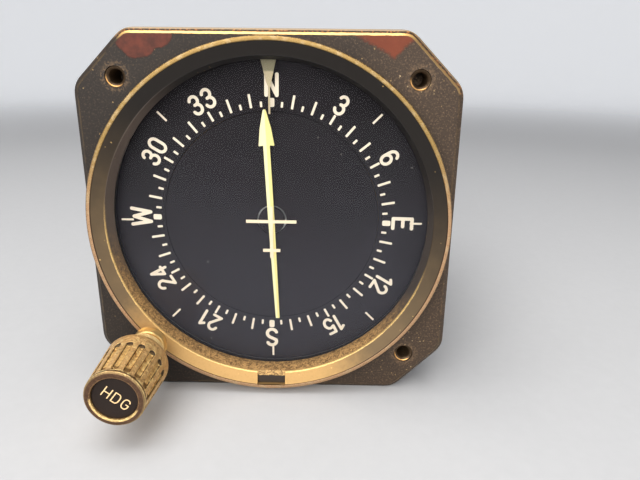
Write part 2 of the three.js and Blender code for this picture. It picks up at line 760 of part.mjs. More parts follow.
function pointerHub() {
  const disc = rod(pointerHubRadius, hubFront, hubRear, plainSegments);
  const socket = bore(pointerShaftRadius + pressGap, shaftFront - seatGap, hubRear + overrun, smallSegments);
  return cut(disc, socket);
}

const statorFront = motorFront;
const rotorFront = statorFront + (statorLength - rotorLength) / 2;
const shaftRear = statorRear + seatGap + capThickness;
const pointer = addPiece(needle, 'pointer', plate(pointerOutline(), pointerFront, pointerRear), pointerPaint);
pointer.rotation.y = -pointerTurn;
addPiece(needle, 'pointer_hub', pointerHub(), blackPaint);
addPiece(needle, 'pointer_shaft', rod(pointerShaftRadius, shaftFront, shaftRear, smallSegments), steel);
addPiece(needle, 'pointer_gear',
  trainGear(pointerGearTeeth, pointerGearFront, pointerShaftRadius, gearHubWall), brass);
addPiece(needle, 'resolver_rotor',
  ring(rotorRadius, pointerShaftRadius + pressGap, rotorFront, rotorFront + rotorLength, plainSegments),
  motorCase);

// The idler steps the servo's speed down to the needle's
const idler = addGroup(idlerX, idlerZ);
const idlerTurn = meshTurn(pointerGearTeeth, 0, idlerPinionTeeth, idlerDirection);
addPiece(idler, 'idler_arbor', rod(arborRadius, frontPlateFront, rearPlateRear, smallSegments), steel);
const idlerPinion = addPiece(idler, 'idler_pinion',
  trainGear(idlerPinionTeeth, pointerGearFront, arborRadius, pinionHubWall), brass);
idlerPinion.rotation.y = -idlerTurn;
const idlerGear = addPiece(idler, 'idler_gear',
  trainGear(idlerGearTeeth, idlerGearFront, arborRadius, gearHubWall), brass);
idlerGear.rotation.y = -idlerTurn;

// Servo motor: its shaft and pinion turn in the fixed case
const motorRotor = addGroup(motorX, motorZ);
const motorShaftRear = motorFront + motorShaftInsertion;

function servoMotor() {
  const body = turned([
    [0, rearPlateFront], [motorPilotRadius, rearPlateFront], [motorPilotRadius, motorFront],
    [motorRadius, motorFront], [motorRadius, motorRear], [0, motorRear],
  ], plainSegments);
  const boreRear = motorShaftRear + seatGap;
  return cut(body, bore(motorShaftRadius + runningGap, rearPlateFront - overrun, boreRear, smallSegments));
}

addPiece(fixed, 'servo_motor', movedTo(servoMotor(), motorX, motorZ), motorCase);
addPiece(motorRotor, 'motor_shaft',
  rod(motorShaftRadius, idlerGearFront - seatGap, motorShaftRear, smallSegments), steel);
const motorPinion = addPiece(motorRotor, 'motor_pinion',
  trainGear(motorPinionTeeth, idlerGearFront, motorShaftRadius, pinionHubWall), brass);
motorPinion.rotation.y = -meshTurn(idlerGearTeeth, idlerTurn, motorPinionTeeth, motorDirection);

// Angle pickup: a wound stator round the rotor, closed by a cap
const capFront = statorRear + seatGap;
addPiece(fixed, 'resolver_stator',
  ring(statorRadius, statorBoreRadius, statorFront, statorRear, plainSegments), motorCase);
addPiece(fixed, 'resolver_cap',
  ring(statorRadius, shaftHoleRadius, capFront, capFront + capThickness, plainSegments), aluminium);

// Rear cover: a deep can that slides over the spigot, with the connector through its back
const coverInnerRear = caseDepth - coverWall;
const connectorScrewPlaces = sides.map((side) => side * connectorScrewSpacing / 2);
const connectorScrewLength = connectorFlangeThickness + 3 * coverWall;

function rearCover() {
  const outside = plate(bodyOutline(bodyInset), coverFront, caseDepth);
  const inside = plate(bodyOutline(bodyInset + coverWall), coverFront - overrun, coverInnerRear);
  const opening = box(0, coverInnerRear, 0, connectorWidth + 2 * slipGap, 4 * coverWall,
    connectorHeight + 2 * slipGap);
  const connectorHoles = connectorScrewPlaces.map((x) => {
    return throughHole(screwRadius, coverInnerRear, caseDepth, x, 0);
  });
  const screwHoles = coverScrewPlaces.map((place) => coverScrewHole(place));
  return cut(outside, inside, opening, ...connectorHoles, ...screwHoles);
}

function connectorBody() {
  const flangeFront = caseDepth + seatGap;
  const flangeRear = flangeFront + connectorFlangeThickness;
  const front = boardRear + seatGap;
  const rear = caseDepth + connectorReach;
  const block = box(0, (front + rear) / 2, 0, connectorWidth, rear - front, connectorHeight);
  const flange = box(0, (flangeFront + flangeRear) / 2, 0, connectorFlangeWidth, connectorFlangeThickness,
    connectorFlangeHeight);
  const holes = connectorScrewPlaces.map((x) => throughHole(screwRadius, flangeFront, flangeRear, x, 0));
  return cut(join(block, flange), ...holes);
}

addPiece(fixed, 'rear_cover', rearCover(), coverGrey);
addPiece(fixed, 'circuit_board',
  plate(cutCornerOutline(boardWidth, boardHeight, boardChamfer, 0), boardRear - boardThickness, boardRear),
  boardGreen);
addPiece(fixed, 'connector_body', connectorBody(), connectorBlue);
const connectorScrew = slottedScrew(screwRadius, screwHeadRadius, screwHeadHeight, connectorScrewLength);
connectorScrewPlaces.forEach((x, index) => {
  const under = caseDepth + seatGap + connectorFlangeThickness + pressGap;
  const screw = connectorScrew.rotate([180, 0, 0]).translate([x, under, 0]);
  addPiece(fixed, `connector_screw_${index + 1}`, screw, steel);
});

// The whole, with its origin at the middle of its footprint
const rearmost = caseDepth + connectorReach;
instrument.position.set(0, (knobReach - rearmost) / 2, flangeHeight / 2);
instrument.updateMatrixWorld(true);

export default instrument;
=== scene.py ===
# %% [markdown]
# # An automatic direction finder indicator
# A needle over a turning compass card, behind glass, in a black cast housing with a fluted knob
# at its lower left corner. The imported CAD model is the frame: its solids keep their places, and
# each cell below gives one piece its full shape or one surface its finish.

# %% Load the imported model
import json
import math

import bmesh
import bpy
import numpy as np
from mathutils import Matrix, Vector


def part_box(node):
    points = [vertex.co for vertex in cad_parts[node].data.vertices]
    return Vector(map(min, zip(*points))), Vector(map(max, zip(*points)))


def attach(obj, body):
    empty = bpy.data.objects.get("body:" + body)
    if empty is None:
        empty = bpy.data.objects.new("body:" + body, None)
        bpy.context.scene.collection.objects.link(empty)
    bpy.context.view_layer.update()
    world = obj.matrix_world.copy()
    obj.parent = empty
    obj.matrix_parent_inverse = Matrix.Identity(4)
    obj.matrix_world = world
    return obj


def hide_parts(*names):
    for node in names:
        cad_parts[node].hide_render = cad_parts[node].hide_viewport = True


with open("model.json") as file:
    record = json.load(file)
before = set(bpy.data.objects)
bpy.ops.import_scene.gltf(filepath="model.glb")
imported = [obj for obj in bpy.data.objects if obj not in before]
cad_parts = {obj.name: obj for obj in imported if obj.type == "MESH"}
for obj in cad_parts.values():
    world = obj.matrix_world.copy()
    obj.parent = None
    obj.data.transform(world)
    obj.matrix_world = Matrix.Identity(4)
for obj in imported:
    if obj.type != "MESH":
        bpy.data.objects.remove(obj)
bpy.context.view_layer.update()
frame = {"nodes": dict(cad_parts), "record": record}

# %% [markdown]
# ## Millimetres about the dial
# Everything on this instrument is laid out round the axis of the dial. So all sizes are written
# in millimetres from the point where that axis meets the front of the flange: x to the right,
# y towards the back, z up. One function turns such a place into Blender's metres.

# %% Find the dial's axis
MM = 0.001
card_low, card_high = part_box("compass_card")
axis_x, axis_z = (card_low.x + card_high.x) / 2, (card_low.z + card_high.z) / 2
dial = Vector((axis_x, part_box("front_housing")[0].y, axis_z))


def spot(x, y, z):
    return dial + MM * Vector((x, y, z))


knob_low, knob_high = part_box("heading_knob")
knob_x = (knob_low.x + knob_high.x) / 2 / MM - dial.x / MM
knob_z = (knob_low.z + knob_high.z) / 2 / MM - dial.z / MM
print("dial axis at", dial, "and knob axis at", round(knob_x, 2), round(knob_z, 2))

# %% [markdown]
# ## The camera
# A camera was fitted to the card's 72 ticks, the bezel's circles and the three holes in the
# photograph. It looks down at 18 degrees from about 120 mm in front of the dial. The lens follows
# from the fit's focal length in pixels, in a frame that is 640 pixels wide. The camera could be
# moved by hand until the picture looks alike, but a fit says where it stood and how far it leant.

# %% Set the camera
sensor_width, frame_pixels, focal_pixels = 36, 640, 555.64
camera_place = spot(12.894, -118.452, 35.23)
pan, tilt, roll = -0.0143, 0.3142, 0.0115
ahead = Vector((math.sin(pan) * math.cos(tilt), math.cos(pan) * math.cos(tilt), -math.sin(tilt)))
level = Vector((math.cos(pan), -math.sin(pan), 0))
raised = level.cross(ahead)
right = math.cos(roll) * level + math.sin(roll) * raised
above = math.cos(roll) * raised - math.sin(roll) * level
camera_data = bpy.data.cameras.new("camera")
camera_data.sensor_width = sensor_width
camera_data.lens = sensor_width * focal_pixels / frame_pixels
camera_data.clip_start = 0.01
camera = bpy.data.objects.new("camera", camera_data)
turned_to = Matrix((right, above, -ahead)).transposed().to_4x4()
camera.matrix_world = Matrix.Translation(camera_place) @ turned_to
bpy.context.scene.collection.objects.link(camera)
bpy.context.scene.camera = camera
print("lens", round(camera_data.lens, 2), "mm")

# %% [markdown]
# ## Shader sums that read like algebra
# Most finishes here mix colours by masks, such as "near this edge" or "inside this patch". With
# one small class around an output socket, `1 - mask * wear` adds the Math nodes by itself. The
# same two classes build the Geometry Nodes trees further down.


# %% Wrap a socket, and a tree
class Wire:
    """The output of a node. Each sum adds one Math node."""

    def __init__(self, graph, socket):
        self.graph, self.socket = graph, socket

    def output(self, name):
        return Wire(self.graph, self.socket.node.outputs[name])

    def maths(self, operation, first, second=0.0):
        return self.graph.node("ShaderNodeMath", {"operation": operation}, {0: first, 1: second})

    def __add__(self, other):
        return self.maths("ADD", self, other)

    def __radd__(self, other):
        return self.maths("ADD", other, self)

    def __sub__(self, other):
        return self.maths("SUBTRACT", self, other)

    def __rsub__(self, other):
        return self.maths("SUBTRACT", other, self)

    def __mul__(self, other):
        return self.maths("MULTIPLY", self, other)

    def __rmul__(self, other):
        return self.maths("MULTIPLY", other, self)

    def __truediv__(self, other):
        return self.maths("DIVIDE", self, other)

    def __pow__(self, other):
        return self.maths("POWER", self, other)

    def __abs__(self):
        return self.maths("ABSOLUTE", self)

    def most(self, other):
        return self.maths("MAXIMUM", self, other)

    def softly_most(self, other, reach):
        """The greater of two, with a round of that reach where they meet."""
        return self.graph.node("ShaderNodeMath", {"operation": "SMOOTH_MAX"}, {0: self, 1: other, 2: reach})

    def least(self, other):
        return self.maths("MINIMUM", self, other)


class Graph:
    """A node tree under construction."""

    def __init__(self, tree):
        self.tree = tree

    def node(self, kind, settings=(), sockets=(), output=0):
        """Settings are set first, then sockets get a value or a link."""
        made = self.tree.nodes.new(kind)
        for name, value in dict(settings).items():
            setattr(made, name, value)
        for name, value in dict(sockets).items():
            if isinstance(value, Wire):
                self.tree.links.new(value.socket, made.inputs[name])
            else:
                made.inputs[name].default_value = value
        return Wire(self, made.outputs[output]) if made.outputs else made


print("shader algebra ready")

# %% [markdown]
# ## A finish
# Each material starts from the object's own coordinates, moved and scaled so that they are
# millimetres about the dial. A pattern made from them stays fixed to the piece and has its real
# size. `coat` makes the shader, and the other methods make the masks that finishes share: clouds
# from noise, chips from a few cells of a Voronoi pattern, and soft steps.


# %% Make the class for finishes
def srgb(red, green, blue):
    """A colour written as a screen shows it, 0 to 255, as Blender's linear values."""
    shares = [value / 255 for value in (red, green, blue)]
    linear = [s / 12.92 if s <= 0.04045 else ((s + 0.055) / 1.055) ** 2.4 for s in shares]
    return (*linear, 1)


class Finish(Graph):
    """A material on one piece, with its place in millimetres about the dial or about x, z."""

    def __init__(self, name, x=0.0, z=0.0):
        self.material = bpy.data.materials.new(name)
        self.material.use_nodes = True
        super().__init__(self.material.node_tree)
        self.tree.nodes.clear()
        object_place = self.node("ShaderNodeTexCoord", output="Object")
        origin = -dial / MM - Vector((x, 0, z))
        self.place = self.node("ShaderNodeMapping", {}, {
            "Vector": object_place, "Location": origin, "Scale": (1 / MM,) * 3})
        parts = self.node("ShaderNodeSeparateXYZ", {}, {0: self.place})
        self.x, self.y, self.z = (parts.output(name) for name in "XYZ")
        self.radius = (self.x * self.x + self.z * self.z) ** 0.5

    def reach(self, x, z):
        """How far a place lies from the axis through x, z."""
        return ((self.x - x) ** 2 + (self.z - z) ** 2) ** 0.5

    def step(self, value, low, high):
        """0 below low and 1 above high, or the other way round where low is the greater."""
        return self.node("ShaderNodeMapRange", {"interpolation_type": "SMOOTHSTEP"},
                         {"Value": value, "From Min": low, "From Max": high})

    def near(self, value, centre, reach, softness):
        """1 within reach of the centre, and 0 past the softness beyond it."""
        return self.step(abs(value - centre), reach + softness, reach)

    def cloud(self, size, detail, seed=0.0):
        """Noise from 0 to 1 whose lumps are about size millimetres across."""
        return self.node("ShaderNodeTexNoise", {"noise_dimensions": "4D"}, {
            "Vector": self.place, "W": seed, "Scale": 1 / size, "Detail": detail,
            "Roughness": 0.55})

    def chips(self, size, share, reach):
        """Small spots in that share of the cells of a pattern of size millimetres."""
        cell = self.node("ShaderNodeTexVoronoi", {}, {"Vector": self.place, "Scale": 1 / size})
        chosen = self.node("ShaderNodeSeparateColor", {}, {0: cell.output("Color")})
        spread = self.cloud(size / 3, 3) * 0.5 - 0.25
        return self.step(cell + spread, reach + 0.06, reach) * self.step(chosen, share + 0.02, share)

    def mix(self, mask, first, second):
        return self.node("ShaderNodeMix", {"data_type": "RGBA"}, {0: mask, 6: first, 7: second}, 2)

    def bump(self, height, distance):
        """A height of 1 stands out by that distance in millimetres."""
        return self.node("ShaderNodeBump", {}, {"Height": height, "Distance": distance * MM})

    def coat(self, **sockets):
        named = {name.replace("_", " "): value for name, value in sockets.items()}
        shader = self.node("ShaderNodeBsdfPrincipled", {}, named)
        self.node("ShaderNodeOutputMaterial", {}, {"Surface": shader})
        return self.material


print("a cream as the photograph shows it:", srgb(250, 236, 214))

# %% [markdown]
# ## Meshes from profiles
# Nearly every piece is turned on a lathe or is a plate with a shaped outline. Two functions cover
# both: `turned` spins a profile about an axis parallel to the dial's, and `lofted` joins outlines
# that lie at different depths. Real edges are never sharp, and it is the small round on an edge
# that catches the light. So `soften` rounds the corners of a profile or an outline first.


# %% Write the profile helpers
def soften(points, size, steps=3, closed=True):
    """Rounds the corners of a line of 2-D points. Size is how far each round reaches."""
    made = []
    last = len(points) - 1
    for index, point in enumerate(points):
        here = Vector(point)
        if not closed and index in (0, last):
            made.append(tuple(here))
            continue
        back = Vector(points[index - 1]) - here
        onward = Vector(points[(index + 1) % len(points)]) - here
        start = here + back.normalized() * min(size, back.length * 0.45)
        end = here + onward.normalized() * min(size, onward.length * 0.45)
        for step in range(steps + 1):
            t = step / steps
            made.append(tuple(start * (1 - t) ** 2 + here * (2 * t * (1 - t)) + end * t**2))
    return made


def turned(profile, segments, x=0.0, z=0.0, closed=True):
    """Points and faces of a profile of (radius, y) spun about the axis through x, z."""
    angles = [2 * math.pi * i / segments for i in range(segments)]
    points, rings = [], []
    for radius, y in profile:
        if radius < 1e-6:
            rings.append([len(points)] * segments)
            points.append((x, y, z))
        else:
            rings.append(list(range(len(points), len(points) + segments)))
            points += [(x + radius * math.sin(a), y, z + radius * math.cos(a)) for a in angles]
    faces = []
    following = rings[1:] + (rings[:1] if closed else [])
    for here, there in zip(rings, following):
        for i in range(segments):
            j = (i + 1) % segments
            face = list(dict.fromkeys((here[i], here[j], there[j], there[i])))
            if len(face) > 2:
                faces.append(face)
    return points, faces


def lofted(sections):
    """Points and faces of (outline, y) sections with as many points each, closed at both ends."""
    count = len(sections[0][0])
    points = [(x, y, z) for outline, y in sections for x, z in outline]
    faces = [list(range(count)), list(range(len(points) - count, len(points)))]
    for start in range(0, len(points) - count, count):
        for i in range(count):
            j = (i + 1) % count
            faces.append([start + i, start + j, start + count + j, start + count + i])
    return points, faces


print("a softened square has", len(soften([(0, 0), (1, 0), (1, 1), (0, 1)], 0.1)), "corners")

# %% [markdown]
# ## From points to a finished piece
# `piece` turns points and faces into an object. What a workshop does to it next has a function
# each: `carve` cuts or adds with Booleans, `break_edges` bevels, and `smooth` shades curved faces
# smoothly and leaves flat ones flat. Modifiers do this work, and `settle` then makes a plain mesh
# of the result. `dress` comes last.


# %% Write the piece helpers
def shown(name, data):
    """A new object in the scene."""
    made = bpy.data.objects.new(name, data)
    bpy.context.scene.collection.objects.link(made)
    return made


def from_shell(name, shell):
    mesh = bpy.data.meshes.new(name)
    shell.to_mesh(mesh)
    shell.free()
    return shown(name, mesh)


def piece(name, shape):
    """A new object from (points, faces) in millimetres, its normals outwards."""
    points, faces = shape
    shell = bmesh.new()
    corners = [shell.verts.new(spot(*point)) for point in points]
    for face in faces:
        shell.faces.new([corners[i] for i in face])
    bmesh.ops.remove_doubles(shell, verts=shell.verts, dist=1e-8)
    bmesh.ops.recalc_face_normals(shell, faces=shell.faces)
    return from_shell(name, shell)


def plain_mesh(made):
    """The mesh of an object as its modifiers or its curve make it."""
    bpy.context.view_layer.update()
    graph = bpy.context.evaluated_depsgraph_get()
    return bpy.data.meshes.new_from_object(made.evaluated_get(graph), depsgraph=graph)


def settle(made):
    """Turns an object with modifiers into a plain mesh."""
    mesh = plain_mesh(made)
    made.modifiers.clear()
    made.data = mesh
    return made


def break_edges(made, width, angle=30):
    """A small bevel on each edge that is sharper than the angle."""
    bevel = made.modifiers.new("edges", "BEVEL")
    bevel.width, bevel.segments, bevel.limit_method = width * MM, 2, "ANGLE"
    bevel.angle_limit = math.radians(angle)
    return settle(made)


def carve(made, *cutters, operation="DIFFERENCE"):
    """Takes the cutters away from a piece, or adds them with UNION, and removes them."""
    for cutter in cutters:
        modifier = made.modifiers.new("carve", "BOOLEAN")
        modifier.operation, modifier.solver, modifier.object = operation, "EXACT", cutter
    settle(made)
    for cutter in cutters:
        bpy.data.objects.remove(cutter)


def smooth(made, angle=32):
    """Smooth shading that breaks at real edges and keeps large flats flat."""
    made.data.shade_smooth()
    made.data.set_sharp_from_angle(angle=math.radians(angle))
    modifier = made.modifiers.new("flats", "WEIGHTED_NORMAL")
    modifier.keep_sharp = True
    return settle(made)


def dress(made, material, body, slot, *nodes):
    """Gives a finished piece its material, the body it moves with and the nodes it stands for."""
    made.data.materials.clear()
    made.data.materials.append(material)
    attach(made, body)
    if nodes:
        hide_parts(*nodes)
    triangles = sum(len(face.vertices) - 2 for face in made.data.polygons)
    print(f"{made.name}: {triangles} triangles, on {body}")


print("helpers for pieces ready")

# %% [markdown]
# ## Black casting paint
# The flange is cast aluminium under a satin black that has aged to a warm brown grey. Handling
# has worn it to bare metal along both edges of the front bevel, and at the top these bright edges
# are also a painted highlight of the light from above. It has small pale chips, and two dabs of
# red-brown sealing paint sit at the top corners. The distance to the outline is the greatest of
# three simple distances, because the outline is a rectangle with its corners cut, and that one
# number places the wear and the painted highlight.

# %% Make the casting's finish
flange_width, flange_height, flange_chamfer = 81.4, 82.3, 11.35
bolt_circle = 88.9
hole_offset = bolt_circle / 2 * math.sqrt(0.5)
insert_places = [(-hole_offset, hole_offset), (hole_offset, hole_offset), (hole_offset, -hole_offset)]


def casting_finish():
    paint = Finish("worn_casting_paint")
    # The distance to the outline, below 0 inside it
    side = abs(paint.x) - flange_width / 2
    end = abs(paint.z) - flange_height / 2
    corner_reach = (flange_width + flange_height) / 2 - flange_chamfer
    corner = (abs(paint.x) + abs(paint.z) - corner_reach) * math.sqrt(0.5)
    outline = side.most(end).softly_most(corner, 1.2)

    # Black paint, aged brown towards the right, with grain, and with smudges by the holes
    ragged = paint.cloud(1.3, 4) - 0.5
    broad = paint.cloud(14, 2, seed=3)
    fine = paint.cloud(0.5, 3, seed=5)
    tone = paint.mix(broad, srgb(29, 24, 21), srgb(44, 37, 31))
    paler_side = paint.step(paint.x + (broad - 0.5) * 60, -30, 40)
    tone = paint.mix(paler_side * 0.45, tone, srgb(84, 66, 50))
    grain = paint.cloud(0.35, 2, seed=7)
    tone = paint.mix(paint.step(fine, 0.5, 0.7) * (0.25 + paler_side * 0.35), tone, srgb(104, 84, 66))
    tone = paint.mix(paint.step(grain, 0.58, 0.7) * (0.2 + paler_side * 0.4), tone, srgb(140, 114, 90))
    tone = paint.mix(paint.step(grain, 0.42, 0.32) * (0.3 + paler_side * 0.3), tone, srgb(22, 18, 15))
    first, second, third = (paint.reach(x, z) for x, z in insert_places)
    near_hole = first.least(second).least(third)
    smudge = paint.step(near_hole + ragged * 2.5, 3.7, 2.4) * paint.step(fine + ragged * 0.6, 0.4, 0.62)
    tone = paint.mix(smudge * 0.45, tone, srgb(132, 106, 78))

    # Wear on the bevel and along its two edges, most at the top and the upper right;
    # there the bright edges are also a painted highlight of the light from above
    bevel = paint.step(outline, -1.0, -0.85) * paint.step(paint.y, 1.2, 1.0)
    bevel_tone = paint.mix(paint.step(fine + ragged * 0.4, 0.5, 0.66), srgb(50, 34, 22), srgb(166, 104, 52))
    top = paint.step(paint.z, 38.5, 40)
    top_right = paint.step(paint.x.least(paint.z), 28, 29.5)
    tone = paint.mix(bevel * (top * 0.9).most(top_right * 0.6), tone, bevel_tone)
    highlight_weight = (0.05 + top * 0.95).most(top_right * 0.7)
    patchy = paint.step(paint.cloud(3.5, 3, seed=9) + highlight_weight * 0.3, 0.42, 0.58)
    inner_edge = paint.near(outline + ragged * 0.3, -1.0, 0.17, 0.12) * paint.step(paint.y, 0.6, 0.4)
    outer_edge = paint.near(outline + ragged * 0.1, -0.14, 0.16, 0.1) * paint.step(paint.y, 1.5, 1.2)
    wear_and_painted_highlight = (inner_edge.most(outer_edge) * highlight_weight * patchy).least(1.0)

    # Chips, and the bare metal in them and on the edges, which at the top is also painted highlight
    specks = (paint.chips(1.2, 0.14, 0.1) * 0.5).most(paint.chips(4.5, 0.25, 0.05))
    specks = specks.most(paint.chips(0.9, 0.22, 0.15) * paint.step(near_hole, 8, 4) * paler_side)
    bare_metal_and_highlight = wear_and_painted_highlight.most(specks * 0.7)
    metal = paint.mix(specks, srgb(228, 186, 118), srgb(196, 174, 140))
    metal = paint.mix(top_right * (1 - top) * 0.7, metal, srgb(140, 116, 80))
    metal = paint.mix(outer_edge, metal, srgb(150, 132, 108))
    tone = paint.mix(bare_metal_and_highlight, tone, metal)

    # The dabs at the top corners, two ovals on the left and a wedge on the right
    edge = paint.cloud(2.4, 4, seed=12) * 0.7 - 0.35

    def oval(x, z, half_width, half_height):
        return ((paint.x - x) / half_width) ** 2 + ((paint.z - z) / half_height) ** 2 + edge

    slant = (paint.x - 25.9) / 5.6
    dab_right = slant.most(slant * -0.55) + abs(paint.z - 41) / 5.4 + edge * 0.5
    dab = oval(-26.2, 39.9, 4.6, 4.9).least(oval(-22.6, 40.2, 3.6, 3.2)).least(dab_right)
    dab = paint.step(dab + (fine - 0.5) * 0.3, 1.1, 0.85) * paint.step(outline, -1.15, -1.4)
    dab = dab * paint.step(paint.y, 0.4, 0.2) * (1 - specks)
    red = paint.mix(paint.step(paint.cloud(2.2, 5, seed=2), 0.3, 0.7), srgb(70, 31, 20), srgb(104, 47, 31))
    red = paint.mix(paint.step(paint.x, -5, 5) * 0.7, red, srgb(126, 56, 28))
    tone = paint.mix(dab * 0.9, tone, red)
    height = fine * 0.6 + dab * 1.2 - bare_metal_and_highlight * 0.8
    return paint.coat(
        Base_Color=tone, Metallic=bare_metal_and_highlight * (0.85 - outer_edge * 0.6), Specular_IOR_Level=0.3,
        Roughness=0.5 - bare_metal_and_highlight * 0.15 + fine * 0.12, Normal=paint.bump(height, 0.03))


casting_paint = casting_finish()
print("casting paint:", len(casting_paint.node_tree.nodes), "nodes")

# %% [markdown]
# ## The housing
# The front of the instrument is one casting: an octagonal flange with a bevelled front edge, a
# body set in behind it and a spigot for the rear cover. One profile of insets from the outline
# makes all of it. The seat of the bezel, the cavity and the holes are then cut with a Boolean, as
# they are machined in the real part.


# %% Build the housing
corner_round = 2.2


def housing_outline(inset):
    x, z = flange_width / 2 - inset, flange_height / 2 - inset
    cut = flange_chamfer - inset * (2 - math.sqrt(2))
    points = [(x, z - cut), (x - cut, z), (cut - x, z), (-x, z - cut),
              (-x, cut - z), (cut - x, -z), (x - cut, -z), (x, cut - z)]
    return soften(points, corner_round, 5)


def peg(radius, front, rear, x, z):
    """A round cutter along the dial's axis."""
    profile = [(0, front), (radius, front), (radius, rear), (0, rear)]
    return piece("peg", turned(profile, 48, x, z, closed=False))


# Each step is an inset from the outline and a depth: spigot, body, flange and bevel
spigot_inset, body_inset, bevel_width = 2.3, 1.2, 1.15
spigot_rear, body_rear, flange_rear, bevel_depth = 12, 8, 4, 1
steps_in = [(spigot_inset, spigot_rear), (spigot_inset, body_rear), (body_inset, body_rear),
            (body_inset, flange_rear), (0, flange_rear), (0, bevel_depth), (bevel_width, 0)]
steps_in = soften(steps_in, 0.16, closed=False)
housing = piece("housing", lofted([(housing_outline(inset), y) for inset, y in steps_in]))
seat_radius, step_radius, cavity_radius, cavity_front = 39.76, 38.4, 36.6, 4.1
seat = [(0, -1), (seat_radius, -1), (seat_radius, 0.4), (step_radius, 0.4),
        (step_radius, cavity_front), (cavity_radius, cavity_front), (cavity_radius, 13), (0, 13)]
bushing_bore, pinion_pocket, shaft_bore, insert_bore = 2.45, 7.2, 1.67, 2.2
carve(housing, piece("seat", turned(seat, 192, closed=False)),
      peg(bushing_bore, -1, 5, knob_x, knob_z),
      peg(pinion_pocket, cavity_front, body_rear, knob_x, knob_z),
      peg(shaft_bore, flange_rear, 10.9, knob_x, knob_z),
      *[peg(insert_bore, -1, 7.4, x, z) for x, z in insert_places])
smooth(housing)
dress(housing, casting_paint, "case", "casting", "front_housing")

# %% [markdown]
# ## Worn bronze
# The bezel has a dark satin finish over metal. Its colour is painted dark at the top, as painted
# shade, and golden at the bottom, as painted light from above, and beside the knob it is rubbed
# to gold. The direction from the dial's axis says how far down a place lies. Narrow lines of wear
# sit where a radius or a depth says there is an edge, and noise breaks them up; the bright line
# along the band's inner edge and the outer edge at the bottom are painted highlights. A painted
# picture could do this too, but masks made from places stay sharp however close one looks.

# %% Make the bezel's finish
bronze_bare = srgb(236, 198, 130)
rim_inner, rim_outer, band_inner, window_edge = 38.8, 39.5, 35.85, 35.15
painted_light_lean = math.radians(12)


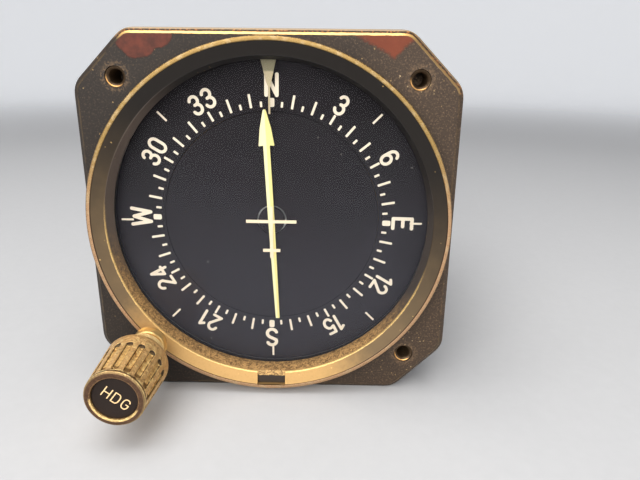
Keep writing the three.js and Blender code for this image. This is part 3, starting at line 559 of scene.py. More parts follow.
def bezel_finish():
    metal = Finish("worn_bezel_bronze")
    ragged = metal.cloud(1.2, 4) - 0.5
    fine = metal.cloud(0.35, 3, seed=4)
    scratch = metal.cloud(0.2, 2, seed=8)
    # The direction from the dial's axis, and from it the painted shade at the top and the painted light lower
    # down
    height, across = metal.z / metal.radius, metal.x / metal.radius
    down = height * -math.cos(painted_light_lean) - across * math.sin(painted_light_lean)
    gold_painted_light = metal.step(down + ragged * 0.14, 0.6, 0.9)
    highlight_weight = metal.step(down + ragged * 0.1, 0.0, 0.35)
    paler_side = metal.step(down, -0.6, 0.7)
    # Painted shade and light: dark at the top, paler lower down and golden at the bottom
    tone = metal.mix(paler_side, srgb(30, 26, 23), srgb(104, 87, 64))
    tone = metal.mix(metal.step(metal.cloud(7, 4, seed=2), 0.4, 0.65) * paler_side * 0.35, tone, srgb(124, 102, 72))
    tone = metal.mix(gold_painted_light * 0.9, tone, srgb(190, 153, 99))
    tone = metal.mix(metal.step(fine, 0.5, 0.75) * gold_painted_light * 0.3, tone, srgb(150, 118, 76))

    # The inner wall: painted shade at the top and deeper in towards the glass, paler on the left, and
    # brown dust with painted light on it below
    wall_top = metal.step(metal.radius - height * 0.15, 35.95, 35.85)
    inside = metal.step(metal.y, -2.3, -2.2).most(wall_top * metal.step(height, -0.1, 0.2)) * wall_top
    dust_and_painted_light = metal.step(down + ragged * 0.3, 0.2, 0.7)
    dust = metal.mix(metal.step(fine + ragged * 0.5, 0.3, 0.7), srgb(90, 66, 40), srgb(190, 150, 96))
    deep_painted_shade = metal.step(metal.y + ragged * 0.8, -0.6, 1.3)
    dust = metal.mix(deep_painted_shade * 0.4, dust, srgb(62, 47, 34))
    wall_tone_with_painted_shade = metal.mix(metal.step(height, 0.6, -0.1), srgb(24, 21, 21), srgb(66, 59, 55))
    wall_tone_with_painted_shade = metal.mix(metal.step(across, -0.45, -0.85), wall_tone_with_painted_shade, srgb(98, 86, 78))
    tone = metal.mix(inside, tone, metal.mix(dust_and_painted_light, wall_tone_with_painted_shade, dust))

    # The flat rim, the edge outside it, golden low down as a painted highlight, and the groove inside
    # it, with a painted shadow on its lower half
    upper = metal.step(height, 0.0, 0.5)
    front = metal.step(metal.y, -3.05, -3.25)
    rim = metal.near(metal.radius, (rim_inner + rim_outer) / 2, 0.34 + upper * 0.08, 0.06) * front
    outer = metal.step(metal.radius + ragged * 0.1, rim_outer + 0.02, rim_outer + 0.12)
    groove = metal.near(metal.radius, rim_inner - 0.08, 0.06, 0.07) * metal.step(metal.y, -2.9, -3.05)
    rim_tone = metal.mix(upper, srgb(184, 148, 114), srgb(156, 129, 80))
    rim_tone = metal.mix(metal.step(metal.cloud(1.6, 3, seed=11), 0.5, 0.64) * 0.4, rim_tone,
                         srgb(196, 176, 140))
    rim_tone = metal.mix(metal.step(scratch, 0.48, 0.34) * 0.8, rim_tone, srgb(104, 70, 36))
    tone = metal.mix(rim, tone, rim_tone)
    # Painted highlight: the outer edge turns golden towards the bottom
    outer_tone = metal.mix(gold_painted_light, srgb(56, 38, 26), srgb(190, 150, 100))
    flecks = metal.step(scratch, 0.56, 0.66) * metal.step(metal.y, -2.7, -3.1)
    tone = metal.mix(outer, tone, metal.mix(flecks, outer_tone, bronze_bare))
    # Painted shadow: a dark line in the groove on the lower half
    tone = metal.mix(groove * 0.8 * (1 - upper), tone, srgb(44, 30, 20))

    # A painted highlight along the band's inner edge, low down, and chips and the boss rubbed to bare metal
    band_edge_highlight = metal.near(metal.radius + ragged * 0.5, band_inner - 0.02, 0.16, 0.16)
    band_edge_highlight = band_edge_highlight * metal.step(metal.y, -1.9, -2.25) * highlight_weight
    band_edge_highlight = band_edge_highlight * (0.35 + metal.step(scratch, 0.4, 0.55) * 0.65)
    boss_wear = metal.step(metal.reach(knob_x, knob_z), 4.3, 4.0) * metal.step(metal.y, -2.6, -3.2)
    wear_and_painted_highlight = band_edge_highlight.most(metal.chips(1.3, 0.1, 0.08) * 0.4).most(boss_wear * 0.85)
    tone = metal.mix(wear_and_painted_highlight, tone, bronze_bare)
    shine = wear_and_painted_highlight.most(rim)
    return metal.coat(
        Base_Color=tone, Metallic=(0.35 + gold_painted_light * 0.4) * (1 - inside * 0.7) * (1 - shine) + shine * 0.85,
        Roughness=0.42 + inside * 0.18 - wear_and_painted_highlight * 0.1 + fine * 0.1, Specular_IOR_Level=0.3,
        Normal=metal.bump(fine * (0.5 + inside) + ragged * 0.5 + scratch * rim * 0.8, 0.03))


bezel_bronze = bezel_finish()
print("bezel bronze:", len(bezel_bronze.node_tree.nodes), "nodes")

# %% [markdown]
# ## The bezel
# One turned ring holds the glass. From the outside in, its profile has a flat rim, a tiny step, a
# band that slopes down to the window and a steep inner wall. A round boss carries the knob's
# bushing, and a small recess is cut into the bottom of the band. Neither is round about the dial,
# so a Boolean adds the one and cuts the other.

# %% Build the bezel
bezel_front = -3.4
profile = [(39.7, 0.3), (39.7, bezel_front + 0.25), (rim_outer, bezel_front), (rim_inner, bezel_front),
           (rim_inner - 0.15, bezel_front + 0.18), (band_inner, -2.38), (window_edge, 1.5),
           (37.05, 1.5), (37.05, 4.0), (38.35, 4.0), (38.35, 0.3)]
bezel = piece("bezel", turned(soften(profile, 0.13), 256))
boss_radius, boss_front, boss_rear = 3.9, -4.9, -0.1
boss_profile = [(0, boss_front), (boss_radius, boss_front), (boss_radius, boss_rear), (0, boss_rear)]
boss_profile = soften(boss_profile, 0.5, 5, closed=False)
boss = piece("boss", turned(boss_profile, 72, knob_x, knob_z, closed=False))
carve(bezel, boss, operation="UNION")
recess_floor = -1.73
recess_outline = soften([(-3.3, -38.75), (3.3, -38.75), (3.3, -35.52), (-3.3, -35.52)], 0.2)
recess = piece("recess", lofted([(recess_outline, -6), (recess_outline, recess_floor)]))
carve(bezel, recess, peg(bushing_bore, -6, 5, knob_x, knob_z))
smooth(bezel)
dress(bezel, bezel_bronze, "case", "bezel", "bezel_ring")

# %% [markdown]
# ## The small plate
# A small black plate lies in the recess and is bare. Golden dust has gathered along its upper
# edge, as it does on any ledge that a cloth can't reach. Three rounded outlines are joined, and
# the front one is a little smaller, which gives the plate the soft edge of painted metal.


# %% Build the plate
def plate_finish():
    paint = Finish("plate_black")
    fine = paint.cloud(0.4, 3, seed=3)
    tone = paint.mix(paint.cloud(3, 3), srgb(34, 28, 24), srgb(56, 46, 36))
    dust = paint.step(paint.z + fine * 0.7, -36.45, -36.2)
    dust_tone = paint.mix(paint.step(fine, 0.4, 0.6), srgb(130, 98, 60), srgb(224, 184, 118))
    tone = paint.mix(dust, tone, dust_tone)
    return paint.coat(Base_Color=tone, Roughness=fine * 0.2 + 0.45, Normal=paint.bump(fine, 0.02))


plate_middle = -37.14
plate_rear, plate_edge, plate_front = recess_floor - 0.1, recess_floor - 0.45, recess_floor - 0.5
plate_outline = soften([(-3.22, -38.68), (3.22, -38.68), (3.22, -35.6), (-3.22, -35.6)], 0.25)
front_outline = [(x * 0.985, plate_middle + (z - plate_middle) * 0.96) for x, z in plate_outline]
plate_sections = [(plate_outline, plate_rear), (plate_outline, plate_edge),
                  (front_outline, plate_front)]
small_plate = smooth(piece("blank_plate", lofted(plate_sections)))
dress(small_plate, plate_finish(), "case", "dial_black", "label_plate")

# %% [markdown]
# ## Dial black and the marks' cream
# The card, the centre disc and the hub are sprayed a matt black, with dust that only shows close
# up. The marks are printed in cream, with a few thin spots in the ink. The knob's face and letters
# differ from these only in colour and gloss, so two functions make all of them.


# %% Make the paints of the dial
def dial_finish(name, low, high, roughness):
    paint = Finish(name)
    broad, fine = paint.cloud(12, 3), paint.cloud(0.3, 3, seed=3)
    dust = paint.chips(2.6, 0.12, 0.04)
    tone = paint.mix(broad, low, high)
    tone = paint.mix(dust * 0.3, tone, srgb(150, 146, 140))
    return paint.coat(Base_Color=tone, Roughness=fine * 0.12 + roughness, Specular_IOR_Level=0.08,
                      Normal=paint.bump(fine, 0.0008))


def print_finish(name, low, high):
    ink = Finish(name)
    broad, fine = ink.cloud(4, 3), ink.cloud(0.25, 3, seed=6)
    tone = ink.mix(broad, low, high)
    tone = ink.mix(ink.step(fine, 0.62, 0.8) * 0.25, tone, srgb(168, 150, 122))
    return ink.coat(Base_Color=tone, Roughness=fine * 0.2 + 0.5, Normal=ink.bump(fine, 0.01))


dial_black = dial_finish("dial_black", srgb(32, 30, 33), srgb(42, 38, 43), 0.6)
cream_ink = print_finish("cream_ink", srgb(240, 224, 202), srgb(252, 240, 222))
print("ink:", len(cream_ink.node_tree.nodes), "nodes")

# %% [markdown]
# ## The compass card
# The card is a flat ring that reaches behind the bezel, with a disc of its own in the middle. A
# hairline gap shows between the two. It could be drawn as a line on one disc, but two turned rings
# with a tiny round on their edges give the gap by themselves, and its edge catches the light.

# %% Build the card and its centre disc
card_front, card_rear, disc_front = 4.25, 4.95, 4.4
card_radius, card_bore, disc_radius, disc_bore = 36.1, 24.5, 24.47, 3.4
ring_profile = [(card_radius, card_front), (card_radius, card_rear), (card_bore, card_rear),
                (card_bore, card_front)]
card = smooth(piece("card", turned(soften(ring_profile, 0.08), 192)))
dress(card, dial_black, "card", "dial_black", "compass_card")
disc_profile = [(disc_radius - 0.07, disc_front), (disc_radius - 0.07, disc_front + 0.22),
                (disc_radius, disc_front + 0.3), (disc_radius, card_rear), (disc_bore, card_rear),
                (disc_bore, disc_front)]
disc = smooth(piece("centre_disc", turned(soften(disc_profile, 0.08), 192)))
dress(disc, dial_black, "card", "dial_black", "card_centre_disc")

# %% [markdown]
# ## What every tree of nodes shares
# Ticks, flutes, screws and contacts all repeat one small shape, so their trees begin and end
# alike. A tree gets named inputs, and its last nodes put the shape on points, make the copies
# real and set their material. `grown` sets the inputs on a modifier, by identifier, and takes the
# plain mesh that comes out.


# %% Write what the trees share
def new_tree(name, inputs):
    """A tree with named inputs, each a kind and a first value, and the wires that carry them."""
    tree = bpy.data.node_groups.new(name, "GeometryNodeTree")
    tree.interface.new_socket(name="Geometry", in_out="OUTPUT", socket_type="NodeSocketGeometry")
    for label, (kind, value) in inputs.items():
        socket = tree.interface.new_socket(name=label, in_out="INPUT", socket_type="NodeSocket" + kind)
        if value is not None:
            socket.default_value = value
    graph = Graph(tree)
    entry = graph.node("NodeGroupInput")
    return graph, {label: entry.output(label) for label in inputs}


def copies_out(graph, points, shape, turn, material):
    """Ends a tree: a copy of the shape on each point, made real and painted."""
    copies = graph.node("GeometryNodeInstanceOnPoints", {}, {
        "Points": points, "Instance": shape, "Rotation": turn})
    real = graph.node("GeometryNodeRealizeInstances", {}, {0: copies})
    painted = graph.node("GeometryNodeSetMaterial", {}, {"Geometry": real, "Material": material})
    graph.node("NodeGroupOutput", {}, {0: painted})
    return graph.tree


def ring_of_points(graph, count, first_angle, reach, depth, centre):
    """Points round an axis along y, and the turn of each about that axis."""
    angle = first_angle + graph.node("GeometryNodeInputIndex") * (2 * math.pi) / count
    sine = graph.node("ShaderNodeMath", {"operation": "SINE"}, {0: angle})
    cosine = graph.node("ShaderNodeMath", {"operation": "COSINE"}, {0: angle})
    place = graph.node("ShaderNodeCombineXYZ", {}, {
        0: sine * reach + centre.x, 1: depth + centre.y, 2: cosine * reach + centre.z})
    turn = graph.node("ShaderNodeCombineXYZ", {}, {1: angle})
    return graph.node("GeometryNodePoints", {}, {"Count": count, "Position": place}), turn


def grown(name, tree, values, places=None):
    """A plain mesh from a tree. Inputs are set by identifier before the object is evaluated."""
    made = shown(name, places or bpy.data.meshes.new(name))
    modifier = made.modifiers.new("grow", "NODES")
    modifier.node_group = tree
    for item in tree.interface.items_tree:
        if item.in_out == "INPUT" and item.name in values:
            modifier[item.identifier] = values[item.name]
    return settle(made)


def joined(name, pieces):
    """Several meshes as one object."""
    shell = bmesh.new()
    for made in pieces:
        shell.from_mesh(made.data)
        bpy.data.objects.remove(made)
    return from_shell(name, shell)


print("ways into and out of a tree ready")

# %% [markdown]
# ## Ticks by Geometry Nodes
# The card has four kinds of tick, and the glass has seven fixed ones. All are the same small
# shape, repeated round a circle, so one tree makes them: a rounded bar is drawn once as a filled
# curve, gets its thickness, and goes on points whose place and turn follow from their number.


# %% Build the tree of ticks
def solid_plate(graph, curve, thickness):
    """A closed plate from a flat curve, standing up to face the front."""
    sheet = graph.node("GeometryNodeFillCurve", {}, {"Curve": curve})
    raised = graph.node("GeometryNodeExtrudeMesh", {}, {
        "Mesh": sheet, "Offset Scale": thickness, "Individual": False})
    under = graph.node("GeometryNodeFlipFaces", {}, {0: sheet})
    whole = graph.node("GeometryNodeJoinGeometry", {}, {0: raised})
    graph.tree.links.new(under.socket, whole.socket.node.inputs[0])
    whole = graph.node("GeometryNodeMergeByDistance", {}, {0: whole, "Distance": 1e-7})
    return graph.node("GeometryNodeTransform", {}, {0: whole, "Rotation": (math.pi / 2, 0, 0)})


def ticks_tree():
    inputs = {
        "Count": ("Int", 12), "First angle": ("Float", 0.0), "Inner radius": ("Float", 0.02),
        "Length": ("Float", 0.003), "Width": ("Float", 0.0005), "Thickness": ("Float", 0.00004),
        "Depth": ("Float", 0.0), "Material": ("Material", None)}
    graph, wire = new_tree("ticks_round_a_dial", inputs)
    bar = graph.node("GeometryNodeCurvePrimitiveQuadrilateral", {}, {
        "Width": wire["Width"], "Height": wire["Length"]})
    bar = graph.node("GeometryNodeFilletCurve", {"mode": "POLY"}, {
        "Curve": bar, "Radius": wire["Width"] * 0.28, "Count": 4})
    tick = solid_plate(graph, bar, wire["Thickness"])
    reach = wire["Inner radius"] + wire["Length"] * 0.5
    points, turn = ring_of_points(graph, wire["Count"], wire["First angle"], reach, wire["Depth"], dial)
    return copies_out(graph, points, tick, turn, wire["Material"])


tick_tree = ticks_tree()
print("the tree of ticks has", len(tick_tree.nodes), "nodes")

# %% [markdown]
# ## The card's ticks
# The ticks stand in rings: one of thirty-six for the short ones, two of twelve for the long ones,
# and three of four for those at the words. Each ring is the same tree with other numbers. The card
# stands a little off north, so every ring gets that turn as well.

# %% Grow the card's ticks
card_turn = math.radians(0.776)
print_thickness, print_depth, tick_inner = 0.04, card_front - 0.005, 25.36


def tick_ring(count, first_degrees, inner, length, width, depth, turn=0.0):
    return grown("ticks", tick_tree, {
        "Count": count, "First angle": math.radians(first_degrees) + turn,
        "Inner radius": inner * MM, "Length": length * MM, "Width": width * MM,
        "Thickness": print_thickness * MM, "Depth": depth * MM, "Material": cream_ink})


# Each row is how many ticks, the first one's degrees, their length and their width
rings = [
    (36, 5, 1.2, 0.5), (12, 10, 3.0, 0.53), (12, 20, 3.0, 0.53), (4, 30, 2.3, 0.53),
    (4, 60, 2.3, 0.53), (4, 0, 1.9, 1.25)]
card_ticks = joined("card_ticks", [
    tick_ring(count, first, tick_inner, length, width, print_depth, card_turn)
    for count, first, length, width in rings])
dress(card_ticks, cream_ink, "card", "dial_black")

# %% [markdown]
# ## Letters and numerals
# The numerals on the card were drawn with a round pen of one width, narrow and tall. Blender's
# own font has other shapes, so each glyph is a few pen strokes here. The distance to the nearest
# stroke is worked out on a fine grid, and the line where it equals half the pen's width is the
# outline. That joins crossing strokes cleanly, and a flat Blender curve fills it, holes included.


# %% Trace the outline of pen strokes
def arc(x, z, radius_x, radius_z, start, end, steps=14):
    """Points on an ellipse, with angles in degrees, counter-clockwise from the right."""
    angles = np.radians(np.linspace(start, end, steps))
    return [(x + radius_x * math.cos(a), z + radius_z * math.sin(a)) for a in angles]


def stroke_distance(strokes, grid_x, grid_z):
    nearest = np.full(grid_x.shape, 1e9)
    for stroke in strokes:
        for (x0, z0), (x1, z1) in zip(stroke, stroke[1:]):
            along_x, along_z = x1 - x0, z1 - z0
            length = max(along_x**2 + along_z**2, 1e-12)
            share = np.clip(((grid_x - x0) * along_x + (grid_z - z0) * along_z) / length, 0, 1)
            gap = np.hypot(grid_x - x0 - share * along_x, grid_z - z0 - share * along_z)
            nearest = np.minimum(nearest, gap)
    return nearest


def outlines(strokes, pen, cell=0.07):
    """Closed lines at half the pen's width from the strokes, by marching squares."""
    xs = [x for stroke in strokes for x, _ in stroke]
    zs = [z for stroke in strokes for _, z in stroke]
    line_x = np.arange(min(xs) - pen, max(xs) + pen, cell)
    line_z = np.arange(min(zs) - pen, max(zs) + pen, cell)
    field = stroke_distance(strokes, *np.meshgrid(line_x, line_z, indexing="ij")) - pen / 2

    def crossing(edge):
        (i, j), (k, m) = edge
        share = field[i, j] / (field[i, j] - field[k, m])
        return (line_x[i] + share * (line_x[k] - line_x[i]), line_z[j] + share * (line_z[m] - line_z[j]))

    links = {}
    for i in range(len(line_x) - 1):
        for j in range(len(line_z) - 1):
            corners = [(i, j), (i + 1, j), (i + 1, j + 1), (i, j + 1)]
            edges = [tuple(sorted((corners[n], corners[(n + 1) % 4]))) for n in range(4)]
            crossed = [edge for edge in edges if (field[edge[0]] < 0) != (field[edge[1]] < 0)]
            for first, second in zip(crossed[::2], crossed[1::2]):
                links.setdefault(first, []).append(second)
                links.setdefault(second, []).append(first)
    loops = []
    while links:
        edge = next(iter(links))
        loop = []
        while edge in links:
            loop.append(crossing(edge))
            onward = [other for other in links.pop(edge) if other in links]
            if not onward:
                break
            edge = onward[0]
        if len(loop) > 3:
            loops.append(loop)
    return loops


print("outline of a short stroke:", len(outlines([[(0, 0), (1, 0)]], 0.5)[0]), "points")

# %% [markdown]
# ## The strokes of each glyph
# Each glyph is a list of strokes in a box of width 1 and height 1, drawn from arcs and straight
# runs. A word gets its own height, width and pen, so one table serves the card's letters, its
# narrower numerals and the knob's small letters.


# %% Draw the glyphs
def glyph_mesh(name, strokes, pen, thickness):
    """A flat closed mesh in its own x and z, in millimetres, with its front at y = 0."""
    curve = bpy.data.curves.new(name, "CURVE")
    curve.dimensions, curve.fill_mode, curve.extrude = "2D", "BOTH", thickness / 2
    for loop in outlines(strokes, pen):
        spline = curve.splines.new("POLY")
        spline.points.add(len(loop) - 1)
        spline.points.foreach_set("co", [value for x, z in loop for value in (x, z, 0, 1)])
        spline.use_cyclic_u = True
    shape = shown(name, curve)
    mesh = plain_mesh(shape)
    bpy.data.objects.remove(shape)
    mesh.transform(Matrix.Translation((0, thickness / 2, 0)) @ Matrix.Rotation(math.pi / 2, 4, "X"))
    return mesh


# The middle of the box is at 0, 0
glyph_strokes = {
    "0": [arc(0, 0.21, 0.5, 0.29, 0, 180) + arc(0, -0.21, 0.5, 0.29, 180, 360) + [(0.5, 0.21)]],
    "1": [[(-0.5, 0.34), (0.5, 0.5), (0.5, -0.5)]],
    "2": [arc(0, 0.22, 0.5, 0.28, 170, -20) + [(0.3, 0.02), (-0.5, -0.5), (0.5, -0.5)]],
    "3": [arc(0, 0.255, 0.46, 0.245, 160, -70) + [(-0.08, 0.02)],
          [(-0.08, 0.02)] + arc(0, -0.235, 0.5, 0.265, 75, -165)],
    "4": [[(0.22, -0.5), (0.22, 0.5), (-0.5, -0.24), (0.5, -0.24)]],
    "5": [[(0.42, 0.5), (-0.38, 0.5), (-0.44, 0.06)] + arc(0, -0.18, 0.5, 0.32, 125, -155)],
    "6": [arc(0, -0.2, 0.5, 0.3, 0, 360, 24), [(-0.5, -0.2)] + arc(0.02, 0.18, 0.52, 0.32, 180, 35)],
    "N": [[(-0.5, -0.5), (-0.5, 0.5), (0.5, -0.5), (0.5, 0.5)]],
    "E": [[(0.5, 0.5), (-0.5, 0.5), (-0.5, -0.5), (0.5, -0.5)], [(-0.5, 0.02), (0.3, 0.02)]],
    "S": [arc(0, 0.25, 0.48, 0.25, 25, 200) + arc(0, -0.24, 0.5, 0.26, 60, -160)],
    "W": [[(-0.5, 0.5), (-0.3, -0.5), (0, 0.4), (0.3, -0.5), (0.5, 0.5)]],
    "H": [[(-0.5, -0.5), (-0.5, 0.5)], [(0.5, -0.5), (0.5, 0.5)], [(-0.5, 0.0), (0.5, 0.0)]],
    "D": [[(-0.5, 0.5), (-0.5, -0.5), (0.1, -0.5)] + arc(0.1, -0.1, 0.4, 0.4, 270, 360, 8)
          + arc(0.1, 0.1, 0.4, 0.4, 0, 90, 8) + [(-0.5, 0.5)]],
    "G": [arc(0.1, 0.1, 0.4, 0.4, 30, 90, 6) + arc(-0.1, 0.1, 0.4, 0.4, 90, 180, 8)
          + arc(-0.1, -0.1, 0.4, 0.4, 180, 270, 8) + arc(0.1, -0.1, 0.4, 0.4, 270, 360, 8)
          + [(0.5, -0.02), (0.08, -0.02)]],
}
odd_widths = {"1": 0.46, "W": 1.65}


def word_mesh(word, height, width, pen, gap, thickness):
    """The glyphs of one word side by side, as meshes with their middle at 0, 0."""
    sizes = [width * odd_widths.get(letter, 1) for letter in word]
    total = sum(sizes) + (len(word) - 1) * (gap + pen)
    x = -total / 2
    meshes = []
    for letter, size in zip(word, sizes):
        strokes = [[(u * size, v * (height - pen)) for u, v in stroke] for stroke in glyph_strokes[letter]]
        mesh = glyph_mesh(letter, strokes, pen, thickness)
        mesh.transform(Matrix.Translation((x + size / 2, 0, 0)))
        meshes.append(mesh)
        x += size + gap + pen
    return meshes


def placed(name, meshes, matrices):
    """Joins meshes, each moved by its matrix from millimetres to its place in metres."""
    shell = bmesh.new()
    for mesh, matrix in zip(meshes, matrices):
        mesh.transform(matrix)
        shell.from_mesh(mesh)
        bpy.data.meshes.remove(mesh)
    bmesh.ops.remove_doubles(shell, verts=shell.verts, dist=1e-8)
    return from_shell(name, shell)


print(len(glyph_strokes), "glyphs drawn")

# %% [markdown]
# ## The words on the card
# Twelve words stand round the card, one every thirty degrees, and each has its head outwards. The
# four letters are larger than the numerals. A glyph is made flat at 0, 0, and a matrix then moves
# it out along the card, turns it about the dial's axis and scales it from millimetres to metres.

# %% Put the numerals on the card
to_metres = Matrix.Translation(dial) @ Matrix.Scale(MM, 4)
meshes, matrices = [], []
card_words = ["N", "3", "6", "E", "12", "15", "S", "21", "24", "W", "30", "33"]
# Height, width, pen and distance from the dial's axis
letter_sizes, numeral_sizes, glyph_gap = (5.1, 2.3, 0.8, 30.0), (4.55, 1.95, 0.68, 30.1), 0.5
for index, word in enumerate(card_words):
    height, width, pen, middle = letter_sizes if word in "NESW" else numeral_sizes
    turn = Matrix.Rotation(card_turn + index * math.pi / 6, 4, "Y")
    place = to_metres @ turn @ Matrix.Translation((0, print_depth - print_thickness, middle))
    for mesh in word_mesh(word, height, width, pen, glyph_gap, print_thickness):
        meshes.append(mesh)
        matrices.append(place)
card_numbers = placed("card_numerals", meshes, matrices)
dress(card_numbers, cream_ink, "card", "dial_black")

# %% [markdown]
# ## The needle
# The needle is thin sheet aluminium with an arrow head, painted pale yellow. It is cut to its
# outline and its edges get a small bevel. A slight ridge along its middle makes the left half look
# lighter, which the paint shows here. It stands a little to the left of the top.


# %% Build the needle and its hub
def pointer_outline():
    side = [(0.3, 24.9), (1.25, 20.9), (1.75, 17.05), (0.73, 17.2), (0.73, 0), (0.475, -24.4)]
    points = side + [(-x, z) for x, z in reversed(side)]
    return soften(points, 0.18, 2)


needle_lean = math.radians(2.7)
needle_front, needle_rear = 3.3, 3.65
needle_turn = Matrix.Rotation(-needle_lean, 4, "Y")
outline = [(needle_turn @ Vector((x, 0, z))).xz for x, z in pointer_outline()]
pointer = piece("needle", lofted([(outline, needle_front), (outline, needle_rear)]))
smooth(break_edges(pointer, 0.07))


def needle_finish():
    paint = Finish("needle_paint")
    across = paint.x + paint.z * math.tan(needle_lean) + (paint.cloud(3, 2) - 0.5) * 0.1
    # Painted light: the left half is paler, as a ridge's left side would catch the light
    half = paint.step(across, 0.1, -0.1)
    fine = paint.cloud(0.25, 3, seed=6)
    tone = paint.mix(half, srgb(248, 234, 152), srgb(255, 250, 196))
    tone = paint.mix(paint.step(fine, 0.62, 0.8) * 0.2, tone, srgb(186, 172, 120))
    return paint.coat(Base_Color=tone, Roughness=fine * 0.2 + 0.5, Normal=paint.bump(fine, 0.01))


dress(pointer, needle_finish(), "needle", "pointer_paint", "pointer")
hub_front, hub_floor, hub_rear, hub_radius, hub_bore = 3.7, 4.1, 4.9, 3.0, 1.05
hub_profile = [(0, hub_front), (hub_radius, hub_front), (hub_radius, hub_rear), (hub_bore, hub_rear),
               (hub_bore, hub_floor), (0, hub_floor)]
hub = smooth(piece("needle_hub", turned(hub_profile, 64, closed=False)))
dress(hub, dial_black, "needle", "dial_black", "pointer_hub")

# %% [markdown]
# ## The glass
# The window is a flat disc. In a render, real refraction through 1.4 mm of glass would shift the
# dial by a fraction of a millimetre and cost much noise, so the glass mixes a clear shader and a
# mirror one by Fresnel. Its lower half has a painted reflection: a larger mirror share and a faint
# bluish layer, which stand for the pale sky that it reflects.


# %% Build the window
def glass_finish():
    glass = Finish("window_glass_clear")
    haze = glass.cloud(18, 3)
    # Painted reflection: the lower half mirrors more and gets a faint bluish layer
    low = glass.step(glass.z + haze * 20, 35, -15)
    clear = glass.node("ShaderNodeBsdfTransparent", {}, {"Color": (0.97, 0.975, 0.97, 1)})
    mirror = glass.node("ShaderNodeBsdfGlossy", {}, {
        "Color": (0.95, 0.97, 1, 1), "Roughness": 0.02, "Normal": glass.bump(haze, 0.002)})
    painted_sky_reflection = glass.node("ShaderNodeBsdfDiffuse", {}, {"Color": (0.5, 0.53, 0.68, 1)})
    share = glass.node("ShaderNodeFresnel", {}, {"IOR": 1.25}) * (low * 0.3 + 0.25)
    mixed = glass.node("ShaderNodeMixShader", {}, {0: share, 1: clear, 2: mirror})
    with_painted_reflection = glass.node("ShaderNodeMixShader", {}, {0: low * 0.02, 1: mixed, 2: painted_sky_reflection})
    glass.node("ShaderNodeOutputMaterial", {}, {"Surface": with_painted_reflection})
    return glass.material


glass_front, glass_rear, glass_radius = 1.55, 2.95, 37
glass_profile = [(0, glass_front), (glass_radius, glass_front), (glass_radius, glass_rear), (0, glass_rear)]
window = smooth(piece("window", turned(soften(glass_profile, 0.1, closed=False), 160, closed=False)))
dress(window, glass_finish(), "case", "glass", "window_glass")

# %% [markdown]
# ## What is printed on the glass
# The marks that never turn are printed on the back of the glass: seven ticks, the index at the
# top, whose upper end has a painted shadow of the bezel in grey, and the sign of an aircraft in
# the middle, in a yellower cream than the rest. Each is a thin plate just behind the glass, not a
# pattern in its material, so that its edges stay sharp.

# %% Print the fixed marks
glass_print = glass_rear + 0.01
fixed_ticks = joined("fixed_ticks", [
    tick_ring(1, degrees, 31.45, 2.8, 0.45, glass_print + print_thickness)
    for degrees in range(45, 360, 45)])
dress(fixed_ticks, cream_ink, "case", "pointer_paint")


def flat_print(name, outline_points):
    rounded = soften(outline_points, 0.1)
    return piece(name, lofted([(rounded, glass_print), (rounded, glass_print + 0.03)]))


index_print = flat_print("index", [
    (-1.75, 35.3), (-0.6, 30.6), (-0.2, 29.6), (-0.2, 24.0), (0.2, 24.0), (0.2, 29.6), (0.5, 30.6),
    (1.6, 35.3)])


def index_finish():
    ink = Finish("index_tan")
    fine = ink.cloud(0.3, 3, seed=6)
    tone = ink.mix(ink.cloud(3, 3), srgb(188, 172, 138), srgb(208, 190, 156))
    # Painted shadow: the upper end is greyer, where the bezel's shadow falls
    tone = ink.mix(ink.step(ink.z + fine * 0.4, 32.8, 33.2), tone, srgb(140, 132, 104))
    return ink.coat(Base_Color=tone, Roughness=fine * 0.2 + 0.5, Normal=ink.bump(fine, 0.01))


dress(index_print, index_finish(), "case", "pointer_paint")
sign_print = flat_print("aircraft_sign", [
    (-0.38, 3.5), (-0.38, 0.35), (-5.75, 0.35), (-5.75, -0.4), (-0.38, -0.4), (-0.38, -6.58),
    (-2.0, -6.58), (-2.0, -7.33), (-0.38, -7.33), (-0.38, -8.8), (0.38, -8.8), (0.38, -7.33),
    (2.0, -7.33), (2.0, -6.58), (0.38, -6.58), (0.38, -0.4), (5.75, -0.4), (5.75, 0.35),
    (0.38, 0.35), (0.38, 3.5)])
sign_paint = print_finish("sign_cream", srgb(250, 226, 190), srgb(255, 240, 212))
dress(sign_print, sign_paint, "case", "pointer_paint")

# %% [markdown]
# ## The knob
# The knob is turned with a slight taper and a domed shoulder, then sixteen flutes are milled
# along it with a round-nosed cutter. The flutes are cut here as well: a tree sweeps a circle
# along a short line, and the circle shrinks towards both ends as a half sphere does. Sixteen of
# these rods stand round the axis, tilted with the taper, and a Boolean takes them away together.


